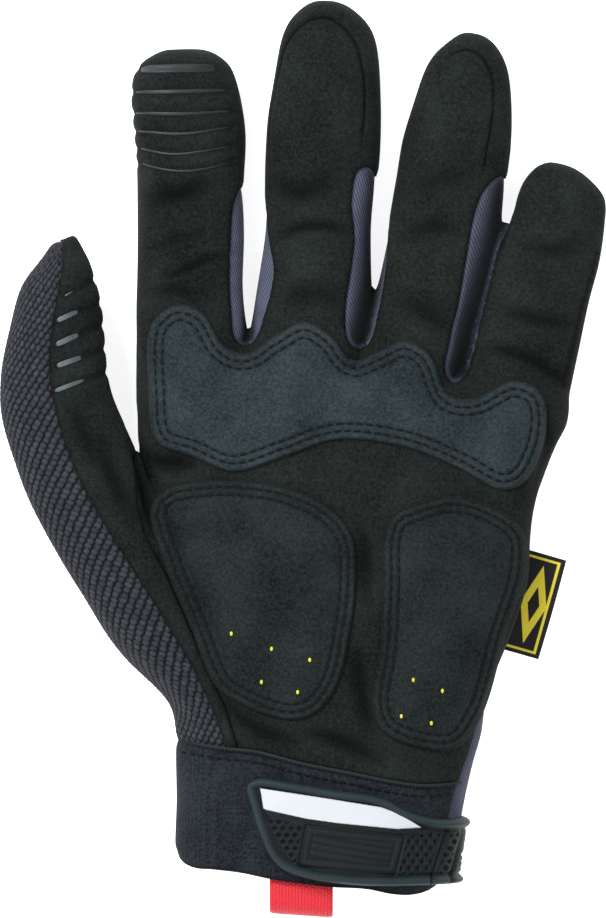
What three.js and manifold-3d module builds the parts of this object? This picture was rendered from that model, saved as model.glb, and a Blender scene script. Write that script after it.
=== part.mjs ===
// A left-hand mechanic's work glove, lying on its back with the palm up.
// Lengths are in millimetres. +X points to the little finger, +Y to the fingertips, +Z out of the palm.
// The glove is one hollow hand form, cut along its seams into the leather, the back, the finger side
// walls, the knitted thumb and the cuff. Pads, closure, loop and tag are laid over that form.
import * as THREE from 'three';
import { mergeVertices } from 'three/addons/utils/BufferGeometryUtils.js';
import Module from 'manifold-3d';

const wasm = await Module();
wasm.setup();

// Hand
const PALM_WIDTH = 112;
const PALM_LENGTH = 105;
const PALM_DEPTH = 33;
const CUFF_WIDTH = 82;
const CUFF_LENGTH = 33;
const CUFF_DEPTH = 37;
const FINGER_WIDTH = 30.5;
const FINGER_DEPTH = 23;
const THUMB_WIDTH = 33;
const THUMB_DEPTH = 29;
const INDEX_LENGTH = 98.3;
const MIDDLE_LENGTH = 112.2;
const RING_LENGTH = 107.4;
const LITTLE_LENGTH = 74.7;
const THUMB_LENGTH = 157;

// Walls, seams and layers
const WALL = 1.6;
const GAP = 0.3;
const SIDE_SEAM_HEIGHT = 8.5;
const PAD_THICKNESS = 2;
const FLOOR_SINK = 1;
const HEM_SLANT_DEG = 9;
const CUFF_END_SLANT_DEG = 3.6;
const WRIST_STRIP_WIDTH = 2.6;
const WRIST_STRIP_LENGTH = 16;

// Grip grooves on the index finger and the thumb
const GROOVE_DEPTH = 0.7;
const INDEX_GROOVE_PITCH = 5.6;
const THUMB_GROOVE_PITCH = 6;

// Closure
const TAB_LENGTH = 60.5;
const TAB_WIDTH = 26.6;
const TAB_PLATE = 1.8;
const TAB_RIM_HEIGHT = 1.1;
const TAB_RIM_WIDTH = 1.7;
const PANEL_THICKNESS = 0.6;
const PLAQUE_THICKNESS = 0.8;
const TAB_FOOT_HEIGHT = 5;

// Pull loop and side tag
const LOOP_WIDTH = 17.6;
const LOOP_HEIGHT = 8.4;
const LOOP_OUT = 12;
const LOOP_IN = 8;
const LOOP_WEBBING = 1.4;
const TAG_LENGTH = 29;
const TAG_OUT = 11;
const TAG_THICKNESS = 0.8;
const TAG_TUCK = 3;

// Facets
const OUTER_FACETS = { body: 24, digit: 14 };
const INNER_FACETS = { body: 16, digit: 10 };
const SPLINE_STEPS = 3;
const SHARPEST_MITRE = 0.2;
const BODY_SQUARENESS = 2.5;
const DIGIT_SQUARENESS = 2.3;
const FAR = 400;

// Sections of the body, each across the hand. along, in palm lengths or cuff lengths, counts from the
// middle of the cuff's hem; left and right are shares of the palm's or cuff's width, deep of its depth.
const PALM_SECTIONS = [
  { along: 0.07, left: -0.373, right: 0.39, deep: 1.08 },
  { along: 0.16, left: -0.383, right: 0.403, deep: 1.06 },
  { along: 0.27, left: -0.41, right: 0.438, deep: 1.05 },
  { along: 0.37, left: -0.435, right: 0.475, deep: 1.04 },
  { along: 0.48, left: -0.45, right: 0.503, deep: 1.02 },
  { along: 0.6, left: -0.463, right: 0.513, deep: 0.99 },
  { along: 0.7, left: -0.468, right: 0.53, deep: 0.96 },
  { along: 0.8, left: -0.468, right: 0.555, deep: 0.93 },
  { along: 0.88, left: -0.468, right: 0.583, deep: 0.89 },
  { along: 0.96, left: -0.466, right: 0.603, deep: 0.82 },
  { along: 1.03, left: -0.45, right: 0.598, deep: 0.68 },
  { along: 1.07, left: -0.42, right: 0.57, deep: 0.46 },
];
const CUFF_SECTIONS = [
  { along: -1.3, left: -0.505, right: 0.47, deep: 0.98 },
  { along: -0.8, left: -0.512, right: 0.468, deep: 0.98 },
  { along: -0.25, left: -0.505, right: 0.49, deep: 0.97 },
  { along: 0, left: -0.508, right: 0.51, deep: 0.96 },
];
// The front of the palm slants back towards the little finger, by this share of the palm's length.
const PALM_SKEW = -0.13;

// Sections of the digits. along is a share of the digit's length, mid and wide of its width, deep of
// its depth, and lift is how far the underside is above the floor, as a share of the depth.
const INDEX_SECTIONS = [
  { along: 0, mid: 0.01, wide: 1.0, deep: 1.12, lift: -0.02 },
  { along: 0.15, mid: 0.01, wide: 1.0, deep: 1.06, lift: -0.02 },
  { along: 0.35, mid: 0, wide: 0.98, deep: 0.96, lift: 0 },
  { along: 0.6, mid: 0.01, wide: 0.975, deep: 0.92, lift: 0.07 },
  { along: 0.8, mid: -0.01, wide: 1.018, deep: 0.9, lift: 0.16 },
  { along: 0.9, mid: -0.03, wide: 0.975, deep: 0.83, lift: 0.23 },
  { along: 0.95, mid: -0.035, wide: 0.86, deep: 0.68, lift: 0.31 },
  { along: 0.985, mid: -0.028, wide: 0.58, deep: 0.45, lift: 0.4 },
  { along: 1, mid: -0.024, wide: 0.36, deep: 0.2, lift: 0.5 },
];
const MIDDLE_SECTIONS = [
  { along: 0, mid: -0.033, wide: 1.0, deep: 1.14, lift: -0.02 },
  { along: 0.15, mid: 0.01, wide: 1.005, deep: 1.06, lift: -0.02 },
  { along: 0.35, mid: 0.065, wide: 1.005, deep: 0.97, lift: 0 },
  { along: 0.6, mid: 0.065, wide: 1.035, deep: 0.93, lift: 0.06 },
  { along: 0.75, mid: 0.073, wide: 1.01, deep: 0.9, lift: 0.14 },
  { along: 0.86, mid: 0.065, wide: 0.917, deep: 0.84, lift: 0.22 },
  { along: 0.93, mid: 0.06, wide: 0.76, deep: 0.7, lift: 0.3 },
  { along: 0.98, mid: 0.038, wide: 0.49, deep: 0.44, lift: 0.42 },
  { along: 1, mid: -0.01, wide: 0.19, deep: 0.18, lift: 0.52 },
];
const RING_SECTIONS = [
  { along: 0, mid: -0.035, wide: 0.955, deep: 1.12, lift: -0.02 },
  { along: 0.15, mid: -0.01, wide: 0.96, deep: 1.05, lift: -0.02 },
  { along: 0.35, mid: 0.065, wide: 1.01, deep: 0.96, lift: 0 },
  { along: 0.55, mid: 0.06, wide: 1.01, deep: 0.92, lift: 0.06 },
  { along: 0.72, mid: 0.065, wide: 0.97, deep: 0.89, lift: 0.14 },
  { along: 0.84, mid: 0.052, wide: 0.86, deep: 0.83, lift: 0.22 },
  { along: 0.92, mid: 0.046, wide: 0.69, deep: 0.68, lift: 0.3 },
  { along: 0.975, mid: 0.05, wide: 0.42, deep: 0.43, lift: 0.42 },
  { along: 1, mid: 0.018, wide: 0.17, deep: 0.18, lift: 0.52 },
];
const LITTLE_SECTIONS = [
  { along: 0, mid: -0.061, wide: 0.97, deep: 1.04, lift: -0.02 },
  { along: 0.2, mid: -0.021, wide: 1.016, deep: 0.95, lift: -0.01 },
  { along: 0.42, mid: 0.006, wide: 1.0, deep: 0.89, lift: 0.03 },
  { along: 0.65, mid: 0.085, wide: 0.925, deep: 0.85, lift: 0.1 },
  { along: 0.8, mid: 0.109, wide: 0.862, deep: 0.8, lift: 0.18 },
  { along: 0.9, mid: 0.106, wide: 0.77, deep: 0.7, lift: 0.26 },
  { along: 0.96, mid: 0.083, wide: 0.52, deep: 0.5, lift: 0.36 },
  { along: 1, mid: -0.008, wide: 0.17, deep: 0.18, lift: 0.5 },
];
const THUMB_SECTIONS = [
  { along: 0.02, mid: 0.067, wide: 0.87, deep: 0.95, lift: 0.06 },
  { along: 0.12, mid: 0.06, wide: 0.89, deep: 1.02, lift: 0.1 },
  { along: 0.25, mid: -0.1, wide: 0.94, deep: 1.06, lift: 0.16 },
  { along: 0.4, mid: -0.3, wide: 1.01, deep: 1.02, lift: 0.24 },
  { along: 0.55, mid: -0.435, wide: 1.01, deep: 0.96, lift: 0.3 },
  { along: 0.7, mid: -0.513, wide: 0.96, deep: 0.9, lift: 0.34 },
  { along: 0.8, mid: -0.425, wide: 0.92, deep: 0.86, lift: 0.36 },
  { along: 0.88, mid: -0.287, wide: 0.79, deep: 0.78, lift: 0.4 },
  { along: 0.94, mid: -0.19, wide: 0.62, deep: 0.62, lift: 0.46 },
  { along: 0.975, mid: -0.1, wide: 0.38, deep: 0.42, lift: 0.52 },
  { along: 1, mid: -0.01, wide: 0.1, deep: 0.14, lift: 0.6 },
];

// Digits: where each root stands on the palm, as shares of its width and length from the hem's middle,
// and how far the digit leans towards the little finger. Grooves run across the grip from first, in
// pitches, on the side of the digit that facing gives in degrees up from the little finger's side.
const DIGITS = {
  index: {
    length: INDEX_LENGTH, width: FINGER_WIDTH, depth: FINGER_DEPTH, lean: -0.5,
    rootX: -0.333, rootY: 0.96, sections: INDEX_SECTIONS,
    grooves: { count: 6, first: 0.656, pitch: INDEX_GROOVE_PITCH, facing: 90 },
  },
  middle: {
    length: MIDDLE_LENGTH, width: FINGER_WIDTH, depth: FINGER_DEPTH, lean: 3.6,
    rootX: -0.0625, rootY: 0.96, sections: MIDDLE_SECTIONS,
  },
  ring: {
    length: RING_LENGTH, width: FINGER_WIDTH, depth: FINGER_DEPTH, lean: 9.8,
    rootX: 0.2, rootY: 0.933, sections: RING_SECTIONS,
  },
  little: {
    length: LITTLE_LENGTH, width: FINGER_WIDTH, depth: FINGER_DEPTH, lean: 9.5,
    rootX: 0.4675, rootY: 0.893, sections: LITTLE_SECTIONS,
  },
  thumb: {
    length: THUMB_LENGTH, width: THUMB_WIDTH, depth: THUMB_DEPTH, lean: -17,
    rootX: -0.2325, rootY: -0.027, sections: THUMB_SECTIONS,
    grooves: { count: 5, first: 0.7, pitch: THUMB_GROOVE_PITCH, facing: 45 },
  },
};

// Side walls between the fingers. reach is how far each wall shows past the finger's edge, top where
// it ends along the finger and root where it starts, as shares of that finger's length.
const SIDE_WALLS = [
  {
    name: 'fourchette_index_middle',
    left: { digit: 'index', reach: 3, root: 0.12, top: 0.6 },
    right: { digit: 'middle', reach: 2.4, root: 0.105, top: 0.5 },
  },
  {
    name: 'fourchette_middle_ring',
    left: { digit: 'middle', reach: 3.4, root: 0.09, top: 0.53 },
    right: { digit: 'ring', reach: 2.6, root: 0.12, top: 0.44 },
  },
  {
    name: 'fourchette_ring_little',
    left: { digit: 'ring', reach: 5, root: 0.1, top: 0.6 },
    right: { digit: 'little', reach: 2.4, root: 0.18, top: 0.7 },
  },
];

// Outlines on the palm, as shares of its width and length from the hem's middle. Each is a smooth
// closed curve through its points.
const KNUCKLE_PAD = [
  { x: -0.44, y: 0.98 }, { x: -0.432, y: 1.165 }, { x: -0.37, y: 1.215 }, { x: -0.3, y: 1.19 },
  { x: -0.25, y: 1.105 }, { x: -0.2, y: 1.085 }, { x: -0.13, y: 1.13 }, { x: -0.05, y: 1.17 },
  { x: 0.02, y: 1.13 }, { x: 0.07, y: 1.067 }, { x: 0.12, y: 1.085 }, { x: 0.2, y: 1.12 },
  { x: 0.265, y: 1.08 }, { x: 0.31, y: 0.975 }, { x: 0.37, y: 0.965 }, { x: 0.47, y: 1.013 },
  { x: 0.54, y: 0.98 }, { x: 0.552, y: 0.87 }, { x: 0.5, y: 0.745 }, { x: 0.44, y: 0.722 },
  { x: 0.33, y: 0.78 }, { x: 0.2, y: 0.835 }, { x: 0.03, y: 0.855 }, { x: -0.1, y: 0.81 },
  { x: -0.23, y: 0.77 }, { x: -0.33, y: 0.81 }, { x: -0.42, y: 0.85 },
];
const THENAR_PAD = [
  { x: -0.435, y: 0.67 }, { x: -0.4, y: 0.725 }, { x: -0.31, y: 0.748 }, { x: -0.19, y: 0.748 },
  { x: -0.08, y: 0.725 }, { x: 0.015, y: 0.675 }, { x: 0.07, y: 0.6 }, { x: 0.078, y: 0.47 },
  { x: 0.065, y: 0.35 }, { x: 0.03, y: 0.2 }, { x: -0.03, y: 0.125 }, { x: -0.1, y: 0.113 },
  { x: -0.22, y: 0.16 }, { x: -0.27, y: 0.2 }, { x: -0.335, y: 0.36 }, { x: -0.4, y: 0.53 },
];
const HYPOTHENAR_PAD = [
  { x: 0.148, y: 0.6 }, { x: 0.17, y: 0.655 }, { x: 0.23, y: 0.685 }, { x: 0.32, y: 0.706 },
  { x: 0.42, y: 0.672 }, { x: 0.485, y: 0.61 }, { x: 0.488, y: 0.5 }, { x: 0.44, y: 0.34 },
  { x: 0.38, y: 0.12 }, { x: 0.33, y: 0.037 }, { x: 0.24, y: 0.037 }, { x: 0.145, y: 0.08 },
  { x: 0.118, y: 0.15 }, { x: 0.138, y: 0.31 }, { x: 0.145, y: 0.48 },
];

// The seam between the thumb's leather and the palm, in the same shares, from the gap beside the index
// finger down past the hem.
const THUMB_SEAM = [
  { x: -0.5, y: 1.6 }, { x: -0.493, y: 0.893 }, { x: -0.468, y: 0.837 }, { x: -0.468, y: 0.685 },
  { x: -0.443, y: 0.594 }, { x: -0.395, y: 0.507 }, { x: -0.337, y: 0.363 }, { x: -0.287, y: 0.237 },
  { x: -0.248, y: 0.147 }, { x: -0.213, y: 0.027 }, { x: -0.19, y: -0.3 },
];

// Outlines on the closure, as shares of the tab's length and width from the tab's lower left corner.
const TAB_OUTLINE = [
  { x: -0.03, y: 1.03 }, { x: 0.02, y: 1.1 }, { x: 0.16, y: 1.063 }, { x: 0.38, y: 0.98 },
  { x: 0.53, y: 0.937 }, { x: 0.61, y: 0.884 }, { x: 0.68, y: 0.79 }, { x: 0.755, y: 0.726 },
  { x: 0.84, y: 0.684 }, { x: 1.18, y: 0.674 }, { x: 1.18, y: 0.04 }, { x: 0.93, y: 0.02 },
  { x: 0.6, y: 0 }, { x: 0.38, y: 0.03 }, { x: 0.236, y: 0.084 }, { x: 0.134, y: 0.168 },
  { x: 0.079, y: 0.284 }, { x: 0.037, y: 0.474 }, { x: -0.01, y: 0.8 },
];
const PANEL_OUTLINE = [
  { x: 0.03, y: 1.0 }, { x: 0.3, y: 0.91 }, { x: 0.58, y: 0.81 }, { x: 0.667, y: 0.737 },
  { x: 0.76, y: 0.6 }, { x: 0.65, y: 0.585 }, { x: 0.38, y: 0.645 }, { x: 0.236, y: 0.69 },
  { x: 0.045, y: 0.785 },
];
const PLAQUE_OUTLINE = [
  { x: 0.245, y: 0.61 }, { x: 0.676, y: 0.505 }, { x: 0.634, y: 0.137 }, { x: 0.213, y: 0.221 },
];
// The tab's lower left corner, in half cuff widths and cuff lengths from the hem's middle.
const TAB_CORNER = { x: -0.478, y: -1.052 };

// Seams on the thumb, as shares of its half width from its middle line, and the tag's place on the
// palm's edge, as a share of the palm's length.
const KNIT_SEAM = -0.07;
const THUMB_BACK_SEAM = 0.8;
const TAG_START = 0.296;

// A closed mesh whose shared corners are merged becomes a solid that can be joined and cut.
function toSolid(geometry) {
  const bare = geometry.clone();
  bare.deleteAttribute('normal');
  bare.deleteAttribute('uv');
  const merged = mergeVertices(bare, 1e-5);
  const mesh = new wasm.Mesh({
    numProp: 3,
    vertProperties: new Float32Array(merged.attributes.position.array),
    triVerts: new Uint32Array(merged.index.array),
  });
  return new wasm.Manifold(mesh);
}

function toGeometry(solid) {
  const { vertProperties, triVerts } = solid.getMesh();
  const geometry = new THREE.BufferGeometry();
  geometry.setAttribute('position', new THREE.BufferAttribute(vertProperties, 3));
  geometry.setIndex(new THREE.BufferAttribute(triVerts, 1));
  geometry.computeVertexNormals();
  return geometry;
}

// A skin over rings of equally many points, with a fan over the first and the last ring.
function loft(rings) {
  const sides = rings[0].length;
  const positions = [];
  const index = [];
  for (const ring of rings) {
    for (const point of ring) positions.push(point.x, point.y, point.z);
  }
  for (let row = 0; row < rings.length - 1; row += 1) {
    for (let side = 0; side < sides; side += 1) {
      const next = (side + 1) % sides;
      const a = row * sides + side;
      const b = row * sides + next;
      index.push(a, b, a + sides, b, b + sides, a + sides);
    }
  }
  for (const [row, turn] of [[0, 1], [rings.length - 1, -1]]) {
    const centre = new THREE.Vector3();
    rings[row].forEach((point) => centre.add(point));
    centre.divideScalar(sides);
    const hub = positions.length / 3;
    positions.push(centre.x, centre.y, centre.z);
    for (let side = 0; side < sides; side += 1) {
      const a = row * sides + side;
      const b = row * sides + ((side + 1) % sides);
      if (turn > 0) index.push(hub, b, a);
      else index.push(hub, a, b);
    }
  }
  const geometry = new THREE.BufferGeometry();
  geometry.setAttribute('position', new THREE.Float32BufferAttribute(positions, 3));
  geometry.setIndex(index);
  return toSolid(geometry);
}

// A wall between two heights over a plan outline.
function prism(outline, low, high) {
  const shape = new THREE.Shape(outline.map((point) => new THREE.Vector2(point.x, point.y)));
  const geometry = new THREE.ExtrudeGeometry(shape, { depth: high - low, bevelEnabled: false });
  geometry.translate(0, 0, low);
  return toSolid(geometry);
}

// A smooth closed curve through the points of an outline.
function rounded(points) {
  const corners = points.map((point) => new THREE.Vector3(point.x, point.y, 0));
  const curve = new THREE.CatmullRomCurve3(corners, true, 'centripetal');
  return curve.getPoints(points.length * SPLINE_STEPS).slice(0, -1);
}

// A plan outline moved outwards by a distance, with mitred corners.
function widened(points, distance) {
  const count = points.length;
  const area = points.reduce((sum, point, i) => {
    const next = points[(i + 1) % count];
    return sum + point.x * next.y - next.x * point.y;
  }, 0);
  const outward = Math.sign(area) * distance;
  const normals = points.map((point, i) => {
    const next = points[(i + 1) % count];
    return new THREE.Vector2(next.y - point.y, point.x - next.x).normalize();
  });
  return points.map((point, i) => {
    const before = normals[(i + count - 1) % count];
    const after = normals[i];
    const mitre = outward / Math.max(SHARPEST_MITRE, 1 + before.dot(after));
    return { x: point.x + (before.x + after.x) * mitre, y: point.y + (before.y + after.y) * mitre };
  });
}

const onPalm = (point) => ({ x: point.x * PALM_WIDTH, y: point.y * PALM_LENGTH });

const onTab = (point) => ({
  x: TAB_CORNER.x * CUFF_WIDTH / 2 + point.x * TAB_LENGTH,
  y: TAB_CORNER.y * CUFF_LENGTH + point.y * TAB_WIDTH,
});

// A section: a superellipse whose grip side is drawn in by a groove where there is one.
function sectionPoint(turn, halfWide, halfDeep, squareness) {
  const bend = (value) => Math.sign(value) * Math.abs(value) ** (2 / squareness);
  return new THREE.Vector2(halfWide * bend(Math.cos(turn)), halfDeep * bend(Math.sin(turn)));
}

// Sections of the palm and cuff with lengths in millimetres, from the wrist to the knuckles.
function bodySections() {
  const cuff = CUFF_SECTIONS.map((row) => ({
    y: row.along * CUFF_LENGTH,
    left: row.left * CUFF_WIDTH,
    right: row.right * CUFF_WIDTH,
    deep: row.deep * CUFF_DEPTH,
    skew: 0,
  }));
  const palm = PALM_SECTIONS.map((row) => ({
    y: row.along * PALM_LENGTH,
    left: row.left * PALM_WIDTH,
    right: row.right * PALM_WIDTH,
    deep: row.deep * PALM_DEPTH,
    skew: PALM_SKEW * PALM_LENGTH * Math.max(0, row.along) ** 3,
  }));
  return [...cuff, ...palm];
}

function body(grow, sides) {
  const sections = bodySections();
  const rings = sections.map((section, row) => {
    const middle = (section.left + section.right) / 2;
    const halfWide = (section.right - section.left) / 2 + grow;
    const halfDeep = section.deep / 2 + grow;
    const front = row === sections.length - 1 ? grow : 0;
    const ring = [];
    for (let side = 0; side < sides; side += 1) {
      const turn = (2 * Math.PI * side) / sides;
      const point = sectionPoint(turn, halfWide, halfDeep, BODY_SQUARENESS);
      const across = point.x / (section.right - section.left);
      ring.push(new THREE.Vector3(
        middle + point.x,
        section.y + front + section.skew * across,
        section.deep / 2 - FLOOR_SINK + point.y,
      ));
    }
    return ring;
  });
  return loft(rings.map((ring) => ring.reverse()));
}

// The place of a point in a digit's own frame: along it, across it, and up.
function inDigit(digit, along, across, up) {
  const lean = THREE.MathUtils.degToRad(digit.lean);
  const root = onPalm({ x: digit.rootX, y: digit.rootY });
  return new THREE.Vector3(
    root.x + Math.sin(lean) * along + Math.cos(lean) * across,
    root.y + Math.cos(lean) * along - Math.sin(lean) * across,
    up,
  );
}

// A digit's section at a share of its length, between the rows of its table.
function digitSection(digit, share) {
  const rows = digit.sections;
  let after = rows.findIndex((row) => row.along >= share);
  if (after < 1) after = after === 0 ? 1 : rows.length - 1;
  const low = rows[after - 1];
  const high = rows[after];
  const part = THREE.MathUtils.clamp((share - low.along) / (high.along - low.along), 0, 1);
  const at = (column) => THREE.MathUtils.lerp(low[column], high[column], part);
  return {
    along: share * digit.length,
    mid: at('mid') * digit.width,
    wide: at('wide') * digit.width,
    deep: at('deep') * digit.depth,
    lift: at('lift') * digit.depth,
    groove: 0,
  };
}

// The sections of a digit from root to tip, with a drawn-in section at each groove.
function digitRows(digit, grooved) {
  const rows = digit.sections.map((row) => digitSection(digit, row.along));
  if (!grooved || !digit.grooves) return rows;
  const { count, first, pitch } = digit.grooves;
  const start = first * digit.length;
  const end = start + (count - 1) * pitch;
  const plain = rows.filter((row) => row.along < start - pitch / 2 || row.along > end + pitch / 2);
  for (let step = -1; step < 2 * count; step += 1) {
    const section = digitSection(digit, (start + step * pitch / 2) / digit.length);
    plain.push({ ...section, groove: step % 2 === 0 ? GROOVE_DEPTH : 0 });
  }
  return plain.sort((one, other) => one.along - other.along);
}

function digitTube(digit, grow, sides) {
  const rows = digitRows(digit, grow >= 0);
  const facing = THREE.MathUtils.degToRad(digit.grooves ? digit.grooves.facing : 0);
  const rings = rows.map((section, row) => {
    const tip = row === rows.length - 1 ? grow : 0;
    const ring = [];
    for (let side = 0; side < sides; side += 1) {
      const turn = (2 * Math.PI * side) / sides;
      const drawn = section.groove * Math.max(0, Math.cos(turn - facing));
      const halfWide = Math.max(section.wide / 2 + grow - drawn, section.wide / 8);
      const halfDeep = Math.max(section.deep / 2 + grow - drawn, section.deep / 8);
      const point = sectionPoint(turn, halfWide, halfDeep, DIGIT_SQUARENESS);
      const up = section.lift + section.deep / 2 + point.y;
      ring.push(inDigit(digit, section.along + tip, section.mid + point.x, up));
    }
    return ring.reverse();
  });
  return loft(rings);
}

// Everything between two heights.
const slab = (low, high) => prism(
  [{ x: -FAR, y: -FAR }, { x: FAR, y: -FAR }, { x: FAR, y: FAR }, { x: -FAR, y: FAR }],
  low,
  high,
);

// The whole hand, grown outwards or inwards from the glove's outer face, and flat where it rests.
function hand(grow) {
  const facets = grow < 0 ? INNER_FACETS : OUTER_FACETS;
  const tubes = Object.values(DIGITS).map((digit) => digitTube(digit, grow, facets.digit));
  const joined = tubes.reduce((sum, tube) => sum.add(tube), body(grow, facets.body));
  return joined.intersect(slab(Math.max(0, -grow), FAR));
}

// The height of the body's palm side over a point of one of its sections, shrunk by a wall.
function sectionTop(section, x, shrink) {
  const halfWide = (section.right - section.left) / 2 - shrink;
  const across = (x - (section.left + section.right) / 2) / halfWide;
  const halfDeep = section.deep / 2 - shrink;
  const share = (1 - Math.abs(across) ** BODY_SQUARENESS) ** (1 / BODY_SQUARENESS);
  return section.deep / 2 - FLOOR_SINK + halfDeep * share;
}

// The body's edge on the little finger's side at a distance from the hem.
function rightEdge(y) {
  const sections = bodySections();
  const after = Math.max(1, sections.findIndex((section) => section.y >= y));
  const low = sections[after - 1];
  const high = sections[after];
  return THREE.MathUtils.mapLinear(y, low.y, high.y, low.right, high.right);
}

// A line along a digit, at a share of its half width from its middle line, from root to tip.
function digitLine(digit, side, inset, from, to, steps) {
  const points = [];
  for (let step = 0; step <= steps; step += 1) {
    const share = THREE.MathUtils.lerp(from, to, step / steps);
    const section = digitSection(digit, share);
    const across = section.mid + side * section.wide / 2 - Math.sign(side) * inset;
    const point = inDigit(digit, section.along, across, 0);
    points.push({ x: point.x, y: point.y });
  }
  return points;
}

const hemAt = (x) => -Math.tan(THREE.MathUtils.degToRad(HEM_SLANT_DEG)) * x;
const cuffEndAt = (x) => -CUFF_LENGTH - Math.tan(THREE.MathUtils.degToRad(CUFF_END_SLANT_DEG)) * x;

// A plan region between two slanting lines across the hand.
function bandRegion(left, right, lower, upper) {
  return [
    { x: left, y: lower(left) }, { x: right, y: lower(right) },
    { x: right, y: upper(right) }, { x: left, y: upper(left) },
  ];
}

// Plan regions of the pieces. Each is cut out a gap wider from the piece beside it.
const stripEdge = CUFF_SECTIONS[2].right * CUFF_WIDTH - WRIST_STRIP_WIDTH;
const aboveHem = bandRegion(-FAR, FAR, hemAt, () => FAR);
const cuffRegion = bandRegion(-FAR, stripEdge, cuffEndAt, (x) => hemAt(x) - GAP);
const stripRegion = bandRegion(stripEdge + GAP, FAR, cuffEndAt, () => WRIST_STRIP_LENGTH);
const heelRegion = bandRegion(stripEdge - FINGER_WIDTH, FAR, hemAt, () => WRIST_STRIP_LENGTH);

function knitRegion() {
  const seam = digitLine(DIGITS.thumb, KNIT_SEAM, 0, -0.2, 1.05, 14);
  const top = seam[seam.length - 1];
  return [...seam, { x: top.x, y: top.y + FINGER_WIDTH }, { x: -FAR, y: FAR }, { x: -FAR, y: seam[0].y }];
}

function backRegion() {
  const seam = digitLine(DIGITS.thumb, THUMB_BACK_SEAM, 0, -0.2, 0.66, 8);
  const crotch = seam[seam.length - 1];
  return [
    ...seam, { x: DIGITS.index.rootX * PALM_WIDTH - FINGER_WIDTH, y: crotch.y },
    { x: DIGITS.index.rootX * PALM_WIDTH - FINGER_WIDTH, y: FAR }, { x: FAR, y: FAR }, { x: FAR, y: -FAR },
  ];
}

const thumbRegion = () => [...THUMB_SEAM.map(onPalm), { x: -FAR, y: -FAR }, { x: -FAR, y: FAR }];

function sideWallRegion({ left, right }) {
  const down = digitLine(DIGITS[left.digit], 1, left.reach, left.top, left.root, 7);
  const up = digitLine(DIGITS[right.digit], -1, right.reach, right.root, right.top, 7);
  return [...down, ...up];
}

const outer = hand(0);
const shell = outer.subtract(hand(-WALL));
const palmSide = slab(SIDE_SEAM_HEIGHT + GAP, FAR);
const backSide = slab(-FAR, SIDE_SEAM_HEIGHT);

// A layer laid over the palm side between two distances from its outer face, inside a plan outline.
function layer(outline, near, far) {
  const block = prism(outline, PALM_DEPTH / 2, FAR);
  return hand(far).subtract(hand(near)).intersect(block);
}

const makeCuff = () => shell.intersect(prism(cuffRegion, -FAR, FAR));

function makeThumbKnit() {
  return shell.intersect(prism(aboveHem, -FAR, FAR)).intersect(prism(knitRegion(), -FAR, FAR));
}

function makeBackPanel() {
  const back = prism(backRegion(), -FAR, SIDE_SEAM_HEIGHT).intersect(prism(aboveHem, -FAR, FAR));
  const heel = prism(heelRegion, -FAR, CUFF_DEPTH / 2);
  return shell.intersect(back.add(heel).add(prism(stripRegion, -FAR, FAR)));
}

const makeSideWall = (wall) => shell.intersect(palmSide).intersect(prism(sideWallRegion(wall), 0, FAR));

// All the leather: what the knit, the back, the heel and the side walls leave of the hand's wall.
function makeLeather() {
  let leather = shell.intersect(prism(aboveHem, -FAR, FAR));
  leather = leather.subtract(prism(widened(knitRegion(), GAP), -FAR, FAR));
  leather = leather.subtract(prism(widened(backRegion(), GAP), -FAR, SIDE_SEAM_HEIGHT + GAP));
  leather = leather.subtract(prism(widened(stripRegion, GAP), -FAR, FAR));
  leather = leather.subtract(prism(widened(heelRegion, GAP), -FAR, CUFF_DEPTH / 2 + GAP));
  for (const wall of SIDE_WALLS) {
    leather = leather.subtract(prism(widened(sideWallRegion(wall), GAP), 0, FAR));
  }
  return leather;
}

const leather = makeLeather();

const makePalm = () => leather.intersect(palmSide).subtract(prism(widened(thumbRegion(), GAP), -FAR, FAR));

const makeThumbLeather = () => leather.intersect(prism(thumbRegion(), -FAR, FAR).add(backSide));

const makePad = (outline) => layer(rounded(outline.map(onPalm)), GAP, GAP + PAD_THICKNESS);

// The tab is a plate with a raised rim; it bends round the wrist's edge down to its foot.
function makeTab() {
  const outline = TAB_OUTLINE.map(onTab);
  const face = GAP + TAB_PLATE;
  const plate = hand(face).subtract(hand(GAP)).intersect(prism(outline, TAB_FOOT_HEIGHT, FAR));
  const inside = prism(widened(outline, -TAB_RIM_WIDTH), 0, FAR);
  const border = prism(outline, TAB_FOOT_HEIGHT, FAR).subtract(inside);
  const rim = hand(face + TAB_RIM_HEIGHT).subtract(hand(GAP)).intersect(border);
  return plate.add(rim);
}

// A thin piece seated on the tab's plate, inside its rim.
function onPlate(outline, thickness) {
  const seat = GAP + TAB_PLATE + GAP;
  const insideRim = prism(widened(TAB_OUTLINE.map(onTab), -TAB_RIM_WIDTH - GAP), 0, FAR);
  return layer(outline.map(onTab), seat, seat + thickness).intersect(insideRim);
}

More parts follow.
